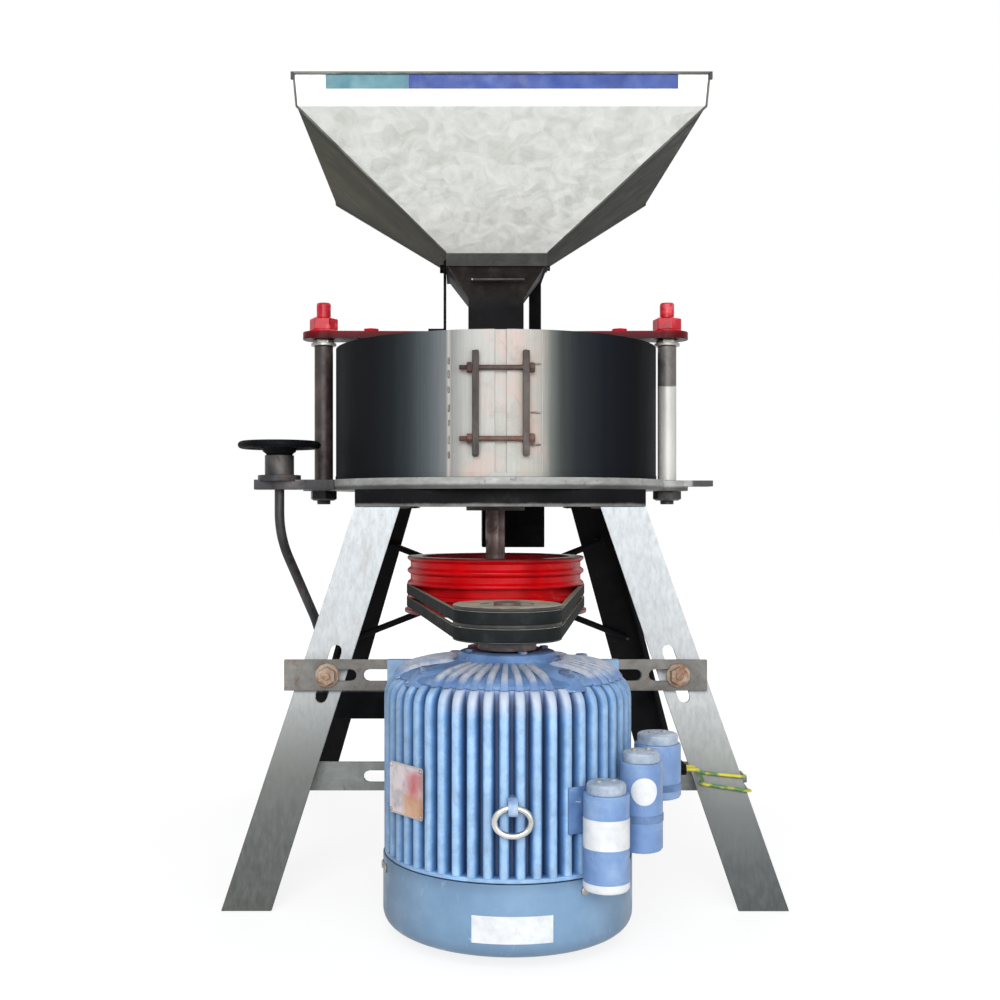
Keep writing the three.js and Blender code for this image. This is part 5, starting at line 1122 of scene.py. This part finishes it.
# ---------------------------------------------------------------- drive
def pierced(outer, holes, z0, z1):
    """A flat plate with holes: its outline and each hole are lists of (x, y)."""
    bm = bmesh.new()
    edges = []
    for loop in [outer, *holes]:
        ring = [bm.verts.new((x, y, z0)) for x, y in loop]
        edges += [bm.edges.new((ring[i], ring[(i + 1) % len(ring)])) for i in range(len(ring))]
    bmesh.ops.triangle_fill(bm, use_beauty=True, use_dissolve=False, edges=edges)
    grown = bmesh.ops.extrude_face_region(bm, geom=list(bm.faces))
    for vert in (g for g in grown["geom"] if isinstance(g, bmesh.types.BMVert)):
        vert.co.z = z1
    bm.verts.index_update()
    points = [v.co.copy() for v in bm.verts]
    faces = [[v.index for v in f.verts] for f in bm.faces]
    bm.free()
    return points, faces


def circle(x, y, r, sides):
    turns = (2 * math.pi * k / sides for k in range(sides))
    return [(x + r * math.cos(t), y + r * math.sin(t)) for t in turns]


def grooves(radius, middles, top_half, depth=8.6, root_half=5.2, lip=0.9):
    points = []
    for z in middles:
        for s in (-1, 1):
            side = [(radius, z + s * (top_half + lip)), (radius - lip * 0.6, z + s * top_half),
                    (radius - depth, z + s * root_half)]
            points += side if s < 0 else side[::-1]
    return points


def pulley_pieces():
    p = PULLEY
    rides = {"body": "spindle_set"}
    middles = [p + 5 + 17 * (i + 0.5) for i in range(4)]
    rim = [(100, p), (121.8, p), (122.6, p + 0.8), (122.6, p + 4.2), (121.8, p + 5), (119.4, p + 5)]
    rim += grooves(119, middles[:2], 6.4)
    rim += grooves(119, middles[2:], 6.4, 4.2, 3.4)
    rim += [(119, p + 74.2), (118.2, p + 75), (101, p + 75), (100, p + 74)]
    lathe("pulley_rim", rim, "red", sides=160, width=0.0003, replaces=["driven_pulley"], **rides)
    floor = p + 16.8
    turns = (2 * math.pi * (i + 0.5) / 5 for i in range(5))
    holes = [circle(68 * math.cos(t), 68 * math.sin(t), 20.4, 36) for t in turns]
    web = pierced(circle(0, 0, 100.4, 96), [circle(0, 0, 35.6, 48), *holes], floor, floor + 10)
    several("pulley_web", [web], "red", width=0.0008, **rides)
    hub = [(13.3, p), (35, p), (36, p + 1), (36, p + 55), (35, p + 56), (13.3, p + 56)]
    lathe("pulley_hub", hub, "red", sides=72, width=0.0004, **rides)
    screws = [hexagon(5, 3.4, (0, -35.8, p + 45), (0, -1, 0), 0.3), hexagon(5, 3.4, (35.8, 0, p + 45), (1, 0, 0), 0.3)]
    several("pulley_set_screws", screws, "rod", width=0.0003, **rides)


def belt_pieces():
    far, near = 120, 57
    grip = math.acos((far - near) / -MY)
    ring = [(0, far, grip + (2 * math.pi - 2 * grip) * k / 96) for k in range(97)]
    ring += [(MY, near, -grip + 2 * grip * k / 48) for k in range(49)]
    outline = [(0, -5.9), (-0.5, -6.5), (-7.6, -4.2), (-8, -3.7), (-8, 3.7), (-7.6, 4.2), (-0.5, 6.5), (0, 5.9)]
    faces = quads(len(ring), len(outline), True)
    for i, z in enumerate(BELTS):
        verts = [((r + d) * math.sin(a), y - (r + d) * math.cos(a), z + h) for y, r, a in ring for d, h in outline]
        several("belt_%d" % (i + 1), [(verts, faces)], "rubber", width=0.0002, replaces=["v_belt_%d" % (i + 1)])


def motor_pulley_pieces():
    low, top = span("motor_pulley")
    at = (0, MY, 0)
    belt = BELTS[0]
    outline = [(14.3, low - 5.4), (29.4, low - 5.4), (30, low - 4.8), (30, belt - 11.6), (33, belt - 10.8),
               (55, belt - 8.6), (56, belt - 8.2), *grooves(56, BELTS, 6.4),
               (56, top - 0.6), (55.2, top), (28.5, top), (27.8, top - 1.6), (14.3, top - 1.9)]
    lathe("small_pulley", outline, "pulley_cast", at, body="motor_shaft_set", width=0.0003, replaces=["motor_pulley"])
    end = [(0, top + 1.8), (12.6, top + 1.8), (14, top + 0.4), (14, top - 2), (0, top - 2)]
    lathe("shaft_end", end, "spindle", at, sides=48, body="motor_shaft_set", width=0.0002)


def spindle_piece():
    bar = knob((0, 0, 0), 64, (0, 369.5), (13.02, 369.5), (13.02, 428.5), (0, 428.5))
    several("spindle_bar", [bar], "spindle", body="spindle_set", width=0)


# ---------------------------------------------------------------- motor
def motor_body():
    """The finned housing: a core, fifty thick rounded fins that curve in under the shield, and its feet."""
    low = span("motor_frame")[0]
    core = [(105, low), (124, low), (125.4, low + 0.8), (125.4, low + 4), (124, low + 5), (112, low + 5.6),
            (112, STATOR - 4), (110.5, STATOR), (105, STATOR)]
    parts = [turned(core, (0, MY, 0), sides=200)]
    levels = [(low + z, FIN_TIP) for z in (4.5, 40, 80, 120)]
    levels += [(STATOR - down, FIN_TIP - inset) for down, inset in (
        (22, 0), (15, 0.5), (9.5, 2.2), (5.4, 4.8), (2.2, 8), (0, 11.4))]
    section = [(0, 5.6), (8, 5.0), (11, 4.5), (12.9, 3.5), (14, 1.6)]
    section += [(depth, -half) for depth, half in section[::-1]]
    n = len(section)
    faces = quads(len(levels), n, False, False) + [list(range(n))[::-1], [(len(levels) - 1) * n + j for j in range(n)]]
    for i in range(FIN_COUNT):
        out, across = ways_at(FIN_STEP * (i + 0.5))
        verts = [Vector((0, MY, z)) + out * (r - 14 + depth) + across * half
                 for z, r in levels for depth, half in section]
        parts.append((verts, faces))
    foot = MY + 132
    for side in (-1, 1):
        parts.append(block(*sorted((side * 84, side * 130)), foot - 12, foot, 104, STATOR))
        parts.append(block(*sorted((side * 84, side * 96)), MY + 42, foot - 11, 104, STATOR))
    several("motor_body", parts, "motor", width=0.0003, replaces=["motor_frame"])
    nuts = []
    back = (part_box("upper_motor_rail")[1].y - SY) * 1000 + SEAT
    tail = foot - 0.5 - back
    for side in (-1, 1):
        for node in ("lower_motor_rail", "upper_motor_rail"):
            at = (side * 108, back, sum(span(node)) / 2)
            nuts.append(knob(at, 24, (0, tail), (5, tail), (5, 8.4), (4, 9), (0, 9), way=(0, 1, 0)))
            nuts.append(hexagon(9, 8, at, (0, 1, 0), 0.3 * side, hole=4.6))
    several("foot_nuts", nuts, "rod", width=0.0004)
    eye = turned([(4.2, -4.5), (8, -4.5), (8, 4.5), (4.2, 4.5)], (0, RING_PIVOT, BOX_MIDDLE), (1, 0, 0), 40)
    several("ring_lug", [eye, block(-4.5, 4.5, MY - 128, MY - 112, 149.4, 164.6)], "lug_paint", width=0.0004)


def shield_ear(angle, z):
    """A domed foot of the shield that runs down over its edge, under a bolt."""
    way, across = ways_at(angle)
    centre = around(angle, 92, z - 2)
    dome = [(math.cos(math.pi / 2 * i / 16) ** 0.62, math.sin(math.pi / 2 * i / 16) ** 0.8) for i in range(17)]
    verts, faces = turned([(1, -6), (1, 0), *dome], sides=56, closed=False)
    shaped = []
    for p in verts:
        out = p.y * 27.5
        drop = 0.0042 * (out + 24) ** 2 if out > -24 else 0
        rise = p.z * (17 if p.z > 0 else 0.3)
        lift = max(rise - drop * min(1, max(p.z, 0) * 1.6), -1.6)
        shaped.append(centre + way * out + across * (p.x * 23) + Vector((0, 0, lift)))
    return shaped, faces


def shield_pieces():
    z = STATOR + SEAT
    outline = [(16, z), (113.4, z), (113, z + 2.6), (109, z + 5.6), (98, z + 8.6), (82, z + 11.4), (66, z + 14),
               (56, z + 15.4), (51.6, z + 16.4), (50, z + 17.6), (50, z + 21.6), (48.6, z + 24), (45.6, z + 25),
               (33, z + 25), (32, z + 23.6), (16, z + 23.6)]
    lathe("shield_body", outline, "blue", (0, MY, 0), sides=128, width=0.0004, replaces=["drive_end_shield"])
    levels = ((55, 15.4, 2.2), (62, 18.4, 2.7), (76, 17.4, 3), (92, 15, 3.3), (102, 12.4, 3.6), (109, 9, 3.8),
              (114, 4.4, 4), (117.2, -0.1, 4.2))
    section = [point for r, rise, half in levels for point in (
        (r, -half, rise - 4.4), (r, -half * 0.72, rise), (r, half * 0.72, rise), (r, half, rise - 4.4))]
    faces = quads(len(levels), 4, False, False) + [[0, 1, 2, 3]]
    ribs = []
    for i in range(FIN_COUNT):
        a = FIN_STEP * (i + 0.5)
        if min(abs((a - e + 180) % 360 - 180) for e in EARS) < 13.5:
            continue
        out, across = ways_at(a)
        verts = [Vector((0, MY, z + max(h, -0.1))) + out * r + across * s for r, s, h in section]
        ribs.append((verts, faces))
    several("shield_ribs", ribs, "rib", width=0)
    for k, a in enumerate(EARS):
        several("shield_ear_%d" % (k + 1), [shield_ear(a, z)], "ear_blue", width=0)
        bolt = [turned([(4, 0), (9, 0), (9, 1.4), (4, 1.4)], around(a, 97, z + 8.6), sides=32),
                hexagon(7.2, 5, around(a, 97, z + 9.8), start=a)]
        several("shield_bolt_%d" % (k + 1), bolt, "bolt_blue", width=0.0004)
    for k, a in enumerate((20, 110, 200, 290)):
        screw = hexagon(4.6, 3, around(a, 41, z + 24.8), start=a)
        several("cap_screw_%d" % (k + 1), [screw], "bolt_blue", width=0.0003)


def cowl_pieces():
    low = 13

    def corner(radius):
        turns = (math.pi / 16 * i for i in range(9))
        return [(112 + radius * math.sin(t), low + 15 - radius * math.cos(t)) for t in turns]

    outline = [(93.4, low + 0.5), (108, low), *corner(15), (127, 62), (127, 83.2), (126.4, 84), (125.2, 84), (1.5, 52),
               (125, low + 15), *corner(13)[::-1], (93.4, low + 2)]
    lathe("cowl_shell", outline, "cowl_blue", (0, MY, 0), sides=144, width=0.0002, replaces=["fan_cowl"])
    half = 3.5
    slot = ((30, -1), (90, -1), (92, -0.55), (92, 0.55), (90, 1), (30, 1), (28.5, 0.5), (28.5, -0.5))
    slots = [[(around(22.5 * i, r, 0) + ways_at(22.5 * i)[1] * (s * half)).xy for r, s in slot] for i in range(16)]
    several("cowl_grille", [pierced(circle(0, MY, 93.6, 96), slots, low, low + 2)], "cowl_blue", width=0.0003)
    for k, a in enumerate((-75, 33, 118, 208, 278)):
        head = (0, 0.2), (4.6, 0.2), (4.3, 1.4), (2.6, 2.2), (0, 2.4)
        screw = knob(around(a, 126.8, 73), 24, *head, way=ways_at(a)[0])
        several("cowl_screw_%d" % (k + 1), [screw], "zinc_nut", width=0)
    several("motor_label", [plate(127.05, 127.4, -17.4, 17.4, 29.5, 55, 30, 0, MY)], "label", width=0.0001)


def nameplate():
    out, across = ways_at(-52)
    centre = Vector((0, MY, 0)) + out * 126.9

    def spot(s, z, proud):
        return centre + out * proud + across * s + Vector((0, 0, z))

    outline = [(-27, 138), (-25, 136), (25, 136), (27, 138), (27, 184), (25, 186), (-25, 186), (-27, 184)]
    blank = prism(*([spot(s, z, proud) for s, z in outline] for proud in (0, 1.1)))
    several("nameplate_blank", [blank], "nameplate", width=0.0003)
    pin = (0, 0), (2.2, 0), (2, 0.8), (1.1, 1.3), (0, 1.4)
    pins = [knob(spot(s, z, 1), 16, *pin, way=out) for s, z in ((-24, 139.4), (24, 139.4), (24, 182.6), (-24, 182.6))]
    several("nameplate_pins", pins, "zinc_nut", width=0)


def can_at(k):
    """A capacitor's radius, the spot of its axis and its two heights."""
    radius, angle, node = CANS[k]
    reach = FIN_TIP + SEAT + 2.5 + SEAT + radius
    t = math.radians(angle)
    return (radius, reach * math.cos(t), MY + reach * math.sin(t), *span(node))


def round_label(k, z, size):
    """A round label wrapped on a capacitor."""
    r, x, y = can_at(k)[:3]
    n, rings, core = 40, 7, 0.02
    verts = []
    for d in (0.05, 0.35):
        for ring in range(rings):
            for i in range(n):
                a = 2 * math.pi * i / n
                wide = size * (ring + core) / (rings - 1 + core)
                sweep = wide * math.cos(a) / r
                verts.append((x + (r + d) * math.sin(sweep), y - (r + d) * math.cos(sweep), z + wide * math.sin(a)))
    inner = quads(rings, n)
    outer = [[rings * n + i for i in face] for face in inner]
    edge = [[i, j, rings * n + j, rings * n + i] for i, j in (
        ((rings - 1) * n + i, (rings - 1) * n + (i + 1) % n) for i in range(n))]
    return verts, inner + outer + edge + [list(range(n)), [rings * n + i for i in range(n)]]


def can_pieces():
    for k, (_, _, node) in enumerate(CANS):
        r, x, y, low, top = can_at(k)
        at = (x, y, 0)
        body = [(0, low), (r - 4, low), (r - 1.4, low + 1), (r, low + 3.4), (r, top - 13.5), (r - 0.5, top - 12.4),
                (r - 1.6, top - 12), (0, top - 12)]
        lathe("can_%d" % (k + 1), body, "can_blue", at, sides=72, closed=False, width=0.0003, replaces=[node])
        cap = [(0, top - 12), (r - 3, top - 12), (r - 3, top - 4.6), (r - 3.6, top - 3), (r - 5.4, top - 2),
               (r - 9, top - 1.4), (0, top - 1.4)]
        lathe("can_cap_%d" % (k + 1), cap, "can_cap", at, sides=64, closed=False, width=0.0004)
        tab = (0, -1.5), (3, -1.5), (3, 1.2), (0, 1.4)
        tabs = [knob((x + s * 7, y + s * 3, top - 1.4), 20, *tab) for s in (-1, 1)]
        several("can_tabs_%d" % (k + 1), tabs, "zinc_nut", width=0.0002)
        if k:
            z = max(low + 9, 134)
            band = plate(r + 0.1, r + 0.7, 0, 359.9, z, z + 7, 60, x, y)
            several("can_band_%d" % (k + 1), [band], "can_strap", width=0.0002)
    r, x, y, low, _ = can_at(0)
    label = plate(r + 0.05, r + 0.35, -92, 92, 119.5, 147, 40, x, y)
    several("can_label_front", [label], "can_label", width=0.0001)
    foot = [(r - 3.4, low + 0.2), (r - 1.2, low + 1), (r + 0.5, low + 3.6), (r + 0.5, low + 9), (r - 0.4, low + 9),
            (r - 0.4, low + 3.8)]
    lathe("can_foot_ring", foot, "label", (x, y, 0), sides=72, width=0.0002)
    several("can_label_round", [round_label(1, 164.6, 13)], "can_label", width=0)


def ring_piece():
    r = 13
    turns = (2 * math.pi * k / 56 for k in range(56))
    points = [(17 * math.sin(t), RING_PIVOT, BOX_MIDDLE - r + r * math.cos(t)) for t in turns]
    wire = tube(points, 2.95, 16, True)
    several("ring_wire", [wire], "chrome", body="lifting_ring", width=0, replaces=["lifting_ring"])


def box_pieces():
    outline = [(1.9, 0.4), (6, 0.4), (6, 3.6), (5, 4), (5, 8), (4.2, 9.8), (2.6, 10.2), (1.9, 10.2)]
    for k, y in enumerate((MY + 37, MY + 51)):
        lathe("lead_gland_%d" % (k + 1), outline, "black", (180, y, BOX_MIDDLE), (1, 0, 0), sides=32, width=0.0003)
    head = (0, 0), (3, 0), (2.8, 0.9), (1.6, 1.5), (0, 1.6)
    screws = [knob((x, y, 171), 20, *head) for x in (134, 176) for y in (MY + 22, MY + 61)]
    several("box_screws", screws, "zinc_nut", width=0)


# ---------------------------------------------------------------- stand
def stand_pieces():
    welds = []
    z = 433.2
    for sx in (-1, 1):
        for sy in (-1, 1):
            welds.append(bead((sx * 108, sy * 198.2, z), (sx * 168, sy * 198.2, z), 1.5))
            welds.append(bead((sx * 172.2, sy * 138, z), (sx * 172.2, sy * 194, z), 1.5))
    several("frame_welds", welds, "weld_dark", width=0)
    bottom, top = span("top_frame")
    wide, deep = FRAME_HALF
    edge, sheet, flange = 0.8, 4, 30
    section = [(edge, bottom), (0, bottom + edge), (0, top - edge), (edge, top), (flange, top), (flange, top - sheet),
               (sheet + 1, top - sheet), (sheet, top - sheet - 1), (sheet, bottom + sheet + 1),
               (sheet + 1, bottom + sheet), (flange, bottom + sheet), (flange, bottom)]
    turns = ((-1, -1), (1, -1), (1, 1), (-1, 1))
    verts = [(sx * (wide - inset), sy * (deep - inset), z) for sx, sy in turns for inset, z in section]
    several("frame_channel", [(verts, quads(4, len(section), True))], "dark_frame", width=0, replaces=["top_frame"])
    lugs = []
    for z, sx in ((382, 1), (382, -1), (230, 1), (230, -1)):
        x, y = sx * (side_face(z) - 24), front_face(z) - 6
        lugs.append(bead((x - 6, y, z + 4), (x + 6, y, z - 4), 2.6))
    several("brace_welds", lugs, "weld_dark", width=0)
    z = 243.5
    for name, sx in (("left", -1), ("right", 1)):
        y = (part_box("rail_bolt_%s" % name)[0].y - SY) * 1000 + 0.2
        tail = thread(4.2, 2.2, 1.25, (sx * (side_face(z) - 33), y, z), (0, -1, 0), 0.4, 20)
        several("bolt_tail_%s" % name, [tail], "bolt", width=0)


make_camera()
make_materials()
earth_lead()
make_world()
make_light("key", P(-420, -2700, 1500), P(0, -100, 450), 1.5, 48)
make_light("fill", P(800, -2300, 800), P(0, -100, 450), 1.4, 16)
make_light("back", P(300, 1800, 1800), P(0, 0, 500), 1.6, 22)
make_floor()
dress_nodes()
for pieces in (hopper_pieces, jacket_pieces, tie_pieces, wheel_pieces, rod_pieces, pulley_pieces, belt_pieces,
               motor_pulley_pieces, spindle_piece, motor_body, shield_pieces, cowl_pieces, nameplate, can_pieces,
               ring_piece, box_pieces, stand_pieces):
    pieces()

bpy.context.scene.view_settings.view_transform = "Standard"
